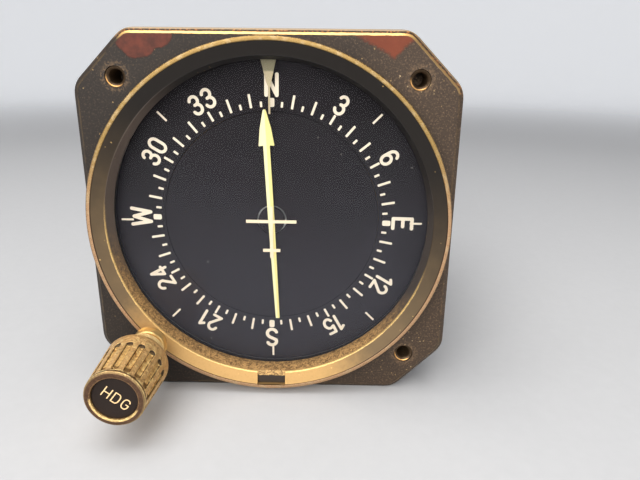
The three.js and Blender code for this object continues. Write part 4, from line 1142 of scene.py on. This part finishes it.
# %% Build the tree of flute cutters
def flutes_tree():
    inputs = {
        "Count": ("Int", 16), "Radius": ("Float", 0.00085), "Length": ("Float", 0.0096),
        "Distance": ("Float", 0.0068), "Taper": ("Float", 0.06), "Turn": ("Float", 0.0),
        "Material": ("Material", None)}
    graph, wire = new_tree("flute_cutters", inputs)
    half = wire["Length"] * 0.5
    start = graph.node("ShaderNodeCombineXYZ", {}, {1: half * -1})
    end = graph.node("ShaderNodeCombineXYZ", {}, {1: half})
    line = graph.node("GeometryNodeCurvePrimitiveLine", {}, {"Start": start, "End": end})
    line = graph.node("GeometryNodeResampleCurve", {}, {"Curve": line, "Count": 49})
    share = graph.node("GeometryNodeSplineParameter")
    past_straight = (abs(share * 2 - 1) * half - (half - wire["Radius"])).most(0.0) / wire["Radius"]
    shrunk = (1.001 - past_straight * past_straight) ** 0.5
    line = graph.node("GeometryNodeSetCurveRadius", {}, {"Curve": line, "Radius": shrunk})
    circle = graph.node("GeometryNodeCurvePrimitiveCircle", {}, {
        "Resolution": 20, "Radius": wire["Radius"]})
    rod = graph.node("GeometryNodeCurveToMesh", {}, {
        "Curve": line, "Profile Curve": circle, "Scale": shrunk, "Fill Caps": True})
    lean = graph.node("ShaderNodeCombineXYZ", {}, {0: wire["Taper"]})
    rod = graph.node("GeometryNodeTransform", {}, {0: rod, "Rotation": lean})
    points, turn = ring_of_points(graph, wire["Count"], wire["Turn"], wire["Distance"], 0.0, Vector())
    return copies_out(graph, points, rod, turn, wire["Material"])


flute_tree = flutes_tree()
print("the tree of flute cutters has", len(flute_tree.nodes), "nodes")

# %% [markdown]
# ## The knob's finish
# The same bronze is worn all over on the knob. The ring round the face is painted darker, as
# painted shade, since it faces away from the light above, and the bronze is dark on the flutes'
# walls and at their rear ends. It is golden on the flutes' floors. The neck and the lower side of
# the socket that holds the face are painted golden as painted light, the socket's upper side is
# painted dark as painted shade, and a dark line behind the front edge is a painted shadow.

# %% Make the knob's finish
knob_front, knob_rear = -25.8, -6.65
flute_front, flute_rear, waist, shoulder = -24.95, -14.7, -12.5, -10.2
front_radius, waist_radius, neck_radius = 6.14, 6.9, 4.6
taper_share = (waist_radius - front_radius) / (waist - knob_front)


def knob_finish():
    metal = Finish("worn_knob_bronze", knob_x, knob_z)
    ragged = metal.cloud(0.9, 4, seed=1) - 0.5
    broad = metal.cloud(4, 3, seed=2)
    fine = metal.cloud(0.3, 3, seed=4)
    # How deep a place lies under the lands, and where the flutes, edges and socket are
    depth_in = (metal.y - knob_front) * taper_share + front_radius - metal.radius
    along = metal.step(metal.y, waist, waist - 0.5) * metal.step(metal.y, knob_front, knob_front + 0.5)
    groove = metal.step(depth_in, 0.12, 0.4) * along
    land_edge = metal.near(depth_in + ragged * 0.05, 0.12, 0.04, 0.06) * along
    pit = metal.step(metal.y, flute_rear - 1.0, flute_rear - 0.7) * metal.step(depth_in, 0.03, 0.1)
    pit = pit * metal.step(metal.y, flute_rear + 0.3, flute_rear)
    front_edge = metal.near(metal.radius + ragged * 0.1, 5.95, 0.1, 0.16)
    front_edge = front_edge * metal.step(metal.y, knob_front + 0.9, knob_front + 0.4)
    near_face = metal.step(metal.y, knob_front + 0.5, knob_front + 0.2)
    socket = metal.step(metal.radius, 4.95, 4.8) * near_face
    # Painted light and shade on the socket: a highlight on its lower side, shade on its upper side
    painted_lit_side = metal.step(metal.z + metal.x * 0.25 + ragged * 0.8, -0.9, -2.0)
    socket_rim = metal.step(metal.radius, 5.2, 5.05) * near_face

    # The bronze, and the flutes from their floors to their walls
    tone = metal.mix(broad, srgb(200, 156, 102), srgb(240, 196, 132))
    tone = metal.mix(metal.step(fine + ragged * 0.6, 0.5, 0.2) * 0.35, tone, srgb(132, 94, 56))
    floor_wear = metal.step(ragged + fine * 0.4, -0.02, 0.34)
    groove_tone = metal.mix(floor_wear, srgb(176, 118, 56), srgb(255, 216, 142))
    tone = metal.mix(groove * 0.85, tone, groove_tone)
    blot = metal.near(metal.y + ragged * 0.8, flute_front + 1.4, 0.35, 0.4) * groove
    tone = metal.mix(blot * 0.75, tone, srgb(98, 62, 32))
    groove_side = metal.near(depth_in + ragged * 0.08, 0.22, 0.1, 0.08) * along
    tone = metal.mix(groove_side * 0.9, tone, srgb(70, 43, 22))

    # The band in front of the flutes, the neck painted paler as painted light, and the ring round
    # the face painted darker as painted shade
    front_band = metal.near(metal.y, flute_front - 0.2, 0.35, 0.25) * metal.step(depth_in, 0.4, 0.1)
    tone = metal.mix(front_band * metal.step(ragged, 0.0, 0.08) * 0.85, tone, srgb(255, 232, 166))
    tone = metal.mix(front_band * metal.step(ragged, -0.02, -0.1) * 0.75, tone, srgb(96, 62, 34))
    neck = metal.step(metal.y, shoulder - 0.7, shoulder + 0.1)
    tone = metal.mix(neck * 0.6, tone, srgb(255, 226, 160))
    face_ring_painted_shade = metal.step(metal.y, knob_front + 0.45, knob_front + 0.2)
    face_ring_painted_shade = face_ring_painted_shade * metal.step(metal.radius, 4.8, 4.95)
    tone = metal.mix(face_ring_painted_shade * 0.95, tone, metal.mix(broad, srgb(60, 41, 32), srgb(94, 67, 53)))

    # Flecks, a painted shadow as a dark line behind the front edge, and painted shade on the socket's
    # upper side
    bright_flecks = metal.step(metal.cloud(0.9, 3, seed=9), 0.53, 0.62) * along
    dark_flecks = metal.step(metal.cloud(1.0, 3, seed=12), 0.54, 0.64) * along
    tone = metal.mix(bright_flecks * 0.5, tone, srgb(255, 224, 154))
    tone = metal.mix(dark_flecks * (1 - groove * 0.6) * 0.45, tone, srgb(112, 74, 40))
    painted_shadow_line = metal.near(metal.y + ragged * 0.3, knob_front + 0.6, 0.14, 0.12)
    tone = metal.mix(painted_shadow_line * 0.85, tone, srgb(78, 50, 30))
    tone = metal.mix(socket * (1 - painted_lit_side) * 0.9, tone, srgb(86, 60, 44))

    # Bare metal on the edges, and a painted highlight on the lower side of the socket's rim
    wear_and_painted_highlight = (land_edge * 0.8).most(front_edge * 0.2).most(socket_rim * painted_lit_side)
    wear_and_painted_highlight = (wear_and_painted_highlight * metal.step(metal.cloud(1.5, 4, seed=7), 0.26, 0.48)).least(1.0)
    tone = metal.mix(wear_and_painted_highlight, tone, srgb(250, 214, 146))
    tone = metal.mix(pit * 0.9, tone, srgb(30, 20, 14))
    return metal.coat(
        Base_Color=tone, Metallic=(0.75 + wear_and_painted_highlight * 0.15) * (1 - pit) * (1 - neck * 0.5),
        Roughness=0.42 - wear_and_painted_highlight * 0.1 + fine * 0.12 + pit * 0.4, Specular_IOR_Level=0.4,
        Normal=metal.bump(fine * 0.8 + ragged * 2, 0.2))


knob_bronze = knob_finish()
print("knob bronze:", len(knob_bronze.node_tree.nodes), "nodes")

# %% [markdown]
# ## The knob's body
# The profile is spun about the knob's own axis, from the bore out along the domed shoulder and
# forward to the socket for the face. The rods are then taken away, and a small bevel breaks the
# edges that they leave, because a milled edge is filed before it is handled.

# %% Build the knob
dome = [(neck_radius + (waist_radius - neck_radius) * math.cos(t), waist + (shoulder - waist) * math.sin(t))
        for t in np.linspace(math.radians(84), math.radians(4), 10)]
knob_bore, socket_radius, socket_floor = 1.64, 4.7, -24.15
knob_profile = [(knob_bore, knob_rear), (neck_radius - 0.25, knob_rear), (neck_radius, knob_rear - 0.25),
                (neck_radius, shoulder), *dome, (front_radius, knob_front + 0.35),
                (front_radius - 0.35, knob_front), (socket_radius, knob_front),
                (socket_radius, socket_floor), (knob_bore, socket_floor)]
knob = piece("knob", turned(soften(knob_profile, 0.12), 160, knob_x, knob_z))
flute_middle = (flute_front + flute_rear) / 2
flute_radius, flute_count = 0.85, 16
flute_distance = front_radius + (flute_middle - knob_front) * taper_share + 0.3
cutters = grown("flutes", flute_tree, {
    "Count": flute_count, "Radius": flute_radius * MM, "Length": (flute_rear - flute_front) * MM,
    "Distance": flute_distance * MM, "Taper": math.atan(taper_share), "Turn": math.radians(2),
    "Material": knob_bronze})
cutters.data.transform(Matrix.Translation(spot(knob_x, flute_middle, knob_z)))
carve(knob, cutters)
smooth(break_edges(knob, 0.06), 40)
dress(knob, knob_bronze, "knob", "knob", "heading_knob")

# %% [markdown]
# ## The knob's face and collar
# A black disc is set into the knob's front, with the three letters that say heading. A plain
# collar stands between the knob and the bezel: it is the flange of the bushing that the shaft
# turns in. The letters come from the same strokes as the card's, with a thinner pen.

# %% Build the face, its letters and the collar
face_front, face_rear, face_radius = -25.25, -24.25, 4.65
face_profile = [(0, face_front - 0.04), (3.2, face_front - 0.03), (face_radius, face_front),
                (face_radius, face_rear), (0, face_rear)]
face_profile = soften(face_profile, 0.1, closed=False)
face = smooth(piece("knob_face", turned(face_profile, 96, knob_x, knob_z, closed=False)))
face_black = dial_finish("knob_face_black", srgb(34, 28, 26), srgb(50, 42, 38), 0.5)
dress(face, face_black, "knob", "dial_black", "knob_face_disc")
letters = word_mesh("HDG", height=2.5, width=1.36, pen=0.25, gap=0.56, thickness=0.03)
lean = Matrix.Rotation(math.radians(38), 4, "Y")
letters_at = Matrix.Translation((knob_x + 0.3, face_front - 0.075, knob_z - 0.05))
knob_letters = placed("knob_letters", letters, [to_metres @ letters_at @ lean] * len(letters))
letter_cream = print_finish("letter_cream", srgb(230, 192, 136), srgb(250, 220, 168))
dress(knob_letters, letter_cream, "knob", "dial_black")

collar_radius, sleeve_radius = 3.4, 2.4
collar_front, collar_rear, sleeve_rear = -6.3, -5.0, 4.0
collar_profile = [(shaft_bore, collar_front), (collar_radius, collar_front), (collar_radius, collar_rear),
                  (sleeve_radius, collar_rear), (sleeve_radius, sleeve_rear), (shaft_bore, sleeve_rear)]
collar = smooth(piece("collar", turned(soften(collar_profile, 0.2), 64, knob_x, knob_z)))
dress(collar, knob_bronze, "case", "bezel", "shaft_bushing")

# %% [markdown]
# ## Threaded inserts
# Three brass inserts are pressed into the corners for the panel's screws. Their plating is dark,
# with a pale line on the lower rim as a painted highlight. Their mouths are countersunk, and the
# thread is a row of ridges in the bore. At this size nobody can tell a ring from a helix, so the
# ridges are part of one turned profile.

# %% Build the inserts
thread_crest, thread_root, half_pitch = 1.4, 1.62, 0.4
insert_radius, insert_rear = 2.15, 7.3
ridges = [(thread_crest if index % 2 else thread_root, 0.95 + index * half_pitch) for index in range(15)]
insert_profile = [(insert_radius, insert_rear), (insert_radius, 0.35), (2.05, 0.25), (1.92, 0.3),
                  (1.5, 0.75), *ridges, (1.45, insert_rear)]


def insert_finish(name, x, z):
    metal = Finish(name, x, z)
    fine = metal.cloud(0.3, 3, seed=4)
    tone = metal.mix(fine, srgb(54, 43, 33), srgb(104, 84, 62))
    # Painted highlight: a pale line on the lower rim of the countersink
    low = metal.step(metal.z + metal.x * 0.5 + fine * 1.5, 0.3, -0.8)
    gold_painted_light = metal.near(metal.radius, 2.05, 0.14, 0.12) * metal.step(metal.y, 0.6, 0.45) * low
    tone = metal.mix(gold_painted_light, tone, srgb(222, 170, 106))
    return metal.coat(Base_Color=tone, Metallic=0.75, Roughness=fine * 0.2 + 0.3,
                      Normal=metal.bump(fine, 0.02))


for index, (x, z) in enumerate(insert_places, 1):
    insert = smooth(piece(f"insert_{index}", turned(insert_profile, 56, x, z)), 40)
    plating = insert_finish(f"insert_metal_{index}", x, z)
    dress(insert, plating, "case", "insert", f"mounting_insert_{index}")

# %% [markdown]
# ## Screws by Geometry Nodes
# Four screws hold the rear cover and two hold the connector. The tree makes one slotted head and
# its shank from named sizes and puts it on the points of a mesh. Each point has its own turn,
# stored on it as an attribute.


# %% Build the tree of screws
def raised_by(graph, shape, height):
    """A shape moved along its own z."""
    place = graph.node("ShaderNodeCombineXYZ", {}, {2: height})
    return graph.node("GeometryNodeTransform", {}, {0: shape, "Translation": place})


def united(graph, first, *others):
    """One solid from several that overlap."""
    whole = graph.node("GeometryNodeMeshBoolean", {"operation": "UNION", "solver": "EXACT"}, {1: first})
    for other in others:
        graph.tree.links.new(other.socket, whole.socket.node.inputs[1])
    return whole


def screws_tree():
    inputs = {
        "Places": ("Geometry", None), "Head radius": ("Float", 0.0021), "Head height": ("Float", 0.0011),
        "Shank radius": ("Float", 0.0012), "Length": ("Float", 0.004), "Slot width": ("Float", 0.0006),
        "Slot depth": ("Float", 0.0005), "Material": ("Material", None)}
    graph, wire = new_tree("slotted_screws", inputs)
    height = wire["Head height"]
    side_share, crown_share = 0.7, 0.3
    head = graph.node("GeometryNodeMeshCylinder", {}, {
        "Vertices": 40, "Radius": wire["Head radius"], "Depth": height * side_share})
    head = raised_by(graph, head, height * (side_share / 2))
    crown = graph.node("GeometryNodeMeshCone", {}, {
        "Vertices": 40, "Radius Bottom": wire["Head radius"], "Radius Top": wire["Head radius"] * 0.84,
        "Depth": height * crown_share})
    crown = raised_by(graph, crown, height * side_share)
    shank = graph.node("GeometryNodeMeshCylinder", {}, {
        "Vertices": 24, "Radius": wire["Shank radius"], "Depth": wire["Length"]})
    shank = raised_by(graph, shank, wire["Length"] * -0.5 + 0.1 * MM)
    slot_size = graph.node("ShaderNodeCombineXYZ", {}, {
        0: wire["Head radius"] * 2.2, 1: wire["Slot width"], 2: wire["Slot depth"] * 2})
    slot = raised_by(graph, graph.node("GeometryNodeMeshCube", {}, {"Size": slot_size}), height)
    screw = graph.node("GeometryNodeMeshBoolean", {"operation": "DIFFERENCE", "solver": "EXACT"}, {
        0: united(graph, head, crown, shank), 1: slot})
    turn = graph.node("GeometryNodeInputNamedAttribute", {"data_type": "FLOAT_VECTOR"}, {"Name": "turn"})
    return copies_out(graph, wire["Places"], screw, turn, wire["Material"])


def places_mesh(places, turns):
    """Points in metres, each with its turn as Euler angles."""
    mesh = bpy.data.meshes.new("places")
    mesh.from_pydata([spot(*place) for place in places], [], [])
    attribute = mesh.attributes.new("turn", "FLOAT_VECTOR", "POINT")
    attribute.data.foreach_set("vector", [value for turn in turns for value in turn])
    return mesh


def metal_finish(name, low, high, roughness):
    metal = Finish(name)
    broad, fine = metal.cloud(6, 3), metal.cloud(0.25, 3, seed=4)
    tone = metal.mix(broad, low, high)
    tone = metal.mix(metal.step(fine, 0.55, 0.8) * 0.3, tone, low)
    return metal.coat(Base_Color=tone, Metallic=0.9, Roughness=fine * 0.2 + (roughness - 0.1),
                      Normal=metal.bump(fine, 0.02))


screw_tree = screws_tree()
screw_steel = metal_finish("screw_steel", srgb(120, 118, 114), srgb(176, 174, 168), 0.34)
print("the tree of screws has", len(screw_tree.nodes), "nodes")

# %% [markdown]
# ## The six screws
# Two screws go into each side of the cover and two into the connector's flange. Their slots stand
# at odd angles, as a screwdriver leaves them. The tree's screw stands with its head up. So each
# point's turn lays it over, and for the side screws a product of two matrices gives that turn.

# %% Put in the screws
cover_side, spigot_middle = 39.55, 10.05
sides = [(side, z) for side in (-1, 1) for z in (-14, 14)]
side_places = [(side * cover_side, spigot_middle, z) for side, z in sides]
side_turns = [
    (Matrix.Rotation(side * math.pi / 2, 3, "Y") @ Matrix.Rotation(0.5 + z * 0.1, 3, "Z")).to_euler()
    for side, z in sides]
cover_screws = grown("cover_screws", screw_tree, {
    "Length": 4.2 * MM, "Material": screw_steel}, places_mesh(side_places, side_turns))
smooth(cover_screws)
dress(cover_screws, screw_steel, "case", "steel", *[f"cover_screw_{n}" for n in range(1, 5)])
back_places = [(side * 21.5, 87.75, 0) for side in (-1, 1)]
back_turns = [(-math.pi / 2, 0.4, 0), (-math.pi / 2, 1.3, 0)]
connector_screws = grown("connector_screws", screw_tree, {
    "Length": 4.5 * MM, "Material": screw_steel}, places_mesh(back_places, back_turns))
smooth(connector_screws)
dress(connector_screws, screw_steel, "case", "steel", "connector_screw_1", "connector_screw_2")

# %% [markdown]
# ## The rear cover
# A deep can of thin aluminium slides over the housing's spigot. It is drawn, so its corners are
# round and its back edge has a soft bend. The finish is a black anodised one with fine scratches
# that run along it.


# %% Build the cover
def cover_finish():
    black = Finish("cover_black")
    stretched = black.node("ShaderNodeMapping", {}, {"Vector": black.place, "Scale": (1, 0.06, 1)})
    lines = black.node("ShaderNodeTexNoise", {}, {"Vector": stretched, "Scale": 5, "Detail": 3})
    broad = black.cloud(22, 3)
    tone = black.mix(broad, srgb(38, 37, 37), srgb(56, 54, 52))
    scratch = black.step(lines, 0.62, 0.72)
    tone = black.mix(scratch * 0.35, tone, srgb(110, 108, 104))
    chips = black.chips(6, 0.12, 0.07)
    tone = black.mix(chips * 0.8, tone, srgb(160, 158, 152))
    return black.coat(Base_Color=tone, Metallic=0.25 + chips * 0.5, Roughness=lines * 0.25 + 0.33,
                      Normal=black.bump(lines, 0.015))


cover_outer, cover_inner, cover_front, bend_start, bend_radius = 1.2, 2.2, 8.1, 85.0, 1.0
cover_steps = [(cover_inner, bend_start), (cover_inner, cover_front), (cover_outer, cover_front),
               (cover_outer, bend_start)]
cover_steps += [(cover_outer + bend_radius * (1 - math.cos(t)), bend_start + bend_radius * math.sin(t))
                for t in np.linspace(0.2, math.pi / 2, 6)]
cover = piece("cover", lofted([(housing_outline(inset), y) for inset, y in cover_steps]))
opening = [(-18.3, -5.8), (18.3, -5.8), (18.3, 5.8), (-18.3, 5.8)]
carve(cover, piece("opening", lofted([(opening, 80), (opening, 90)])))
smooth(cover)
dress(cover, cover_finish(), "case", "cover", "rear_cover")

# %% [markdown]
# ## The connector
# A moulded block with a flange closes the opening in the back. Its mouth is hollow, with two rows
# of contacts. An Array modifier could repeat a pin too, but one tree holds the grid of points, the
# pin and the two pitches together.


# %% Build the connector and its contacts
def rectangle(width, height, corner):
    x, z = width / 2, height / 2
    return soften([(-x, -z), (x, -z), (x, z), (-x, z)], corner, 4)


def contacts_tree():
    inputs = {
        "Columns": ("Int", 13), "Rows": ("Int", 2), "Pitch": ("Float", 0.0024),
        "Row gap": ("Float", 0.0035), "Radius": ("Float", 0.0005), "Length": ("Float", 0.004),
        "Material": ("Material", None)}
    graph, wire = new_tree("rows_of_contacts", inputs)
    grid = graph.node("GeometryNodeMeshGrid", {}, {
        "Size X": (wire["Columns"] - 1) * wire["Pitch"], "Size Y": (wire["Rows"] - 1) * wire["Row gap"],
        "Vertices X": wire["Columns"], "Vertices Y": wire["Rows"]})
    pin = graph.node("GeometryNodeMeshCylinder", {}, {
        "Vertices": 12, "Radius": wire["Radius"], "Depth": wire["Length"]})
    tip = graph.node("GeometryNodeMeshUVSphere", {}, {
        "Segments": 12, "Rings": 6, "Radius": wire["Radius"]})
    whole = united(graph, pin, raised_by(graph, tip, wire["Length"] * 0.5))
    return copies_out(graph, grid, whole, (0, 0, 0), wire["Material"])


def moulding_finish(name, low, high):
    plastic = Finish(name)
    broad, fine = plastic.cloud(7, 2), plastic.cloud(0.4, 3, seed=3)
    tone = plastic.mix(broad, low, high)
    return plastic.coat(Base_Color=tone, Roughness=fine * 0.15 + 0.42, Normal=plastic.bump(fine, 0.02))


connector_blue = moulding_finish("connector_blue", srgb(28, 42, 70), srgb(36, 54, 88))
block, mouth = rectangle(36, 11, 0.8), rectangle(33, 8, 0.6)
mouth_front, mouth_floor = 93.0, 88.6
body_steps = [(block, 74.1), (block, mouth_front - 0.2), (rectangle(35.6, 10.6, 0.7), mouth_front),
              (rectangle(33.4, 8.4, 0.6), mouth_front), (mouth, mouth_front - 0.2), (mouth, mouth_floor)]
connector = piece("connector", lofted(body_steps))
flange_outline, cut_outline = rectangle(50, 14, 1.6), rectangle(35.9, 10.9, 0.8)
flange = piece("flange", lofted([(flange_outline, 86.1), (flange_outline, 87.6),
                                 (rectangle(49.8, 13.8, 1.5), 87.7)]))
carve(flange, piece("flange_cut", lofted([(cut_outline, 85), (cut_outline, 89)])))
carve(connector, flange, operation="UNION")
smooth(connector)
dress(connector, connector_blue, "case", "connector", "connector_body")

pin_brass = metal_finish("contact_brass", srgb(150, 118, 62), srgb(208, 174, 104), 0.3)
contacts = grown("contacts", contacts_tree(), {
    "Columns": 13, "Rows": 2, "Pitch": 2.4 * MM, "Row gap": 3.4 * MM, "Radius": 0.5 * MM,
    "Length": 4.0 * MM, "Material": pin_brass})
contacts_at = Matrix.Translation(spot(0, mouth_floor + 1.3, 0))
contacts.data.transform(contacts_at @ Matrix.Rotation(-math.pi / 2, 4, "X"))
smooth(contacts)
dress(contacts, pin_brass, "case", "connector")

# %% [markdown]
# ## The mechanism
# The gears, shafts, plates and motor inside keep their CAD shapes. They are seen only when the
# instrument is opened or cut, and they still get real finishes: ground steel, cut brass, milled
# aluminium, plated steel, rubber and a green laminate.

# %% Finish the inner pieces
inner_finishes = {
    "steel": metal_finish("ground_steel", srgb(150, 150, 150), srgb(190, 190, 188), 0.3),
    "brass": metal_finish("cut_brass", srgb(166, 132, 72), srgb(214, 180, 108), 0.32),
    "aluminium": metal_finish("milled_aluminium", srgb(168, 170, 172), srgb(200, 202, 203), 0.4),
    "motor_case": metal_finish("plated_steel", srgb(112, 114, 118), srgb(146, 148, 150), 0.4),
    "gasket": moulding_finish("black_rubber", srgb(24, 24, 24), srgb(34, 33, 33)),
    "board": moulding_finish("board_green", srgb(34, 84, 48), srgb(48, 104, 62)),
}
slots = {part["node"]: part["material_slot"] for part in frame["record"]["subparts"]}
for name, node in frame["nodes"].items():
    if not node.hide_render:
        node.data.materials.clear()
        node.data.materials.append(inner_finishes[slots[name]])
print(sum(not node.hide_render for node in frame["nodes"].values()), "CAD nodes shown")

# %% [markdown]
# ## The floor
# A pale floor bends up into a pale wall all round, so every view has the same quiet background.
# Far out it glows a little, but only for rays from the camera or off metal and glass, so that it
# looks pale and adds no light to the instrument. The floor is a bowl of rings, because a bend
# without corners shows no line where the floor ends.


# %% Build the floor
def floor_finish():
    paper = Finish("pale_floor")
    grain = paper.cloud(2.5, 3)
    tone = paper.mix(grain, (0.5, 0.51, 0.53, 1), (0.54, 0.55, 0.57, 1))
    far = paper.step((paper.x * paper.x + paper.y * paper.y) ** 0.5, 450, 1200)
    tone = paper.mix(far, tone, (0.9, 0.91, 0.93, 1))
    ray = paper.node("ShaderNodeLightPath")
    seen = ray.most(ray.output("Is Glossy Ray")).most(ray.output("Is Transmission Ray"))
    glow = paper.mix(far * seen, (0, 0, 0, 1), (0.92, 0.95, 1, 1))
    return paper.coat(
        Base_Color=tone, Emission_Color=glow, Emission_Strength=0.3, Roughness=grain * 0.1 + 0.8,
        Normal=paper.bump(grain, 0.02))


floor_radius, bend_size, wall_top, segments = 1.0, 0.4, 1.0, 96
bend = [(floor_radius + bend_size * math.sin(t), bend_size - bend_size * math.cos(t))
        for t in np.linspace(0, math.pi / 2, 16)]
bowl = [(0.3, 0), *bend, (floor_radius + bend_size, wall_top)]
angles = [2 * math.pi * i / segments for i in range(segments)]
points = [(r * math.sin(a), r * math.cos(a), z) for r, z in bowl for a in angles]
faces = [[ring * segments + i, ring * segments + (i + 1) % segments,
          (ring + 1) * segments + (i + 1) % segments, (ring + 1) * segments + i]
         for ring in range(len(bowl) - 1) for i in range(segments)]
faces.append(list(range(segments)))
floor_mesh = bpy.data.meshes.new("floor")
floor_mesh.from_pydata(points, [], faces)
floor_mesh.shade_smooth()
floor_mesh.set_sharp_from_angle(angle=math.radians(30))
floor_mesh.materials.append(floor_finish())
floor = shown("floor", floor_mesh)
print("floor:", len(faces), "faces")

# %% [markdown]
# ## Lamps and sky
# The key lamp hangs in front, above and to the left. A low strip lights the face from straight
# ahead, a large lamp overhead catches the upper edges, and a weak one fills from the right. The
# sky adds an even light. The lamps are large and soft, because small ones would leave hard bright
# points on the metal and the glass. The levels are such that a colour looks as written.


# %% Hang the lamps
def soft_lamp(name, place, width, height, power, colour):
    lamp = bpy.data.lights.new(name, "AREA")
    lamp.shape, lamp.size, lamp.size_y = "RECTANGLE", width, height
    lamp.energy, lamp.color = power, colour
    made = shown(name, lamp)
    made.location = place
    made.rotation_euler = (aim - Vector(place)).to_track_quat("-Z", "Y").to_euler()


aim = Vector((0, 0, 0.04))
day_white, lamp_white = (1, 0.97, 0.93), (1, 0.95, 0.88)
soft_lamp("key", (-0.14, -0.53, 0.34), 0.5, 0.36, 2.7, day_white)
soft_lamp("low", (-0.04, -0.7, 0.17), 0.6, 0.1, 1.4, lamp_white)
soft_lamp("top", (-0.1, -0.15, 0.7), 0.6, 0.6, 5.0, day_white)
soft_lamp("fill", (0.5, -0.3, 0.2), 0.3, 0.3, 0.4, lamp_white)
world = bpy.data.worlds.new("sky")
world.use_nodes = True
world.node_tree.nodes["Background"].inputs["Color"].default_value = (0.86, 0.89, 0.94, 1)
world.node_tree.nodes["Background"].inputs["Strength"].default_value = 0.22
bpy.context.scene.world = world
bpy.context.scene.view_settings.view_transform = "Standard"
print("four lamps and the sky are set")
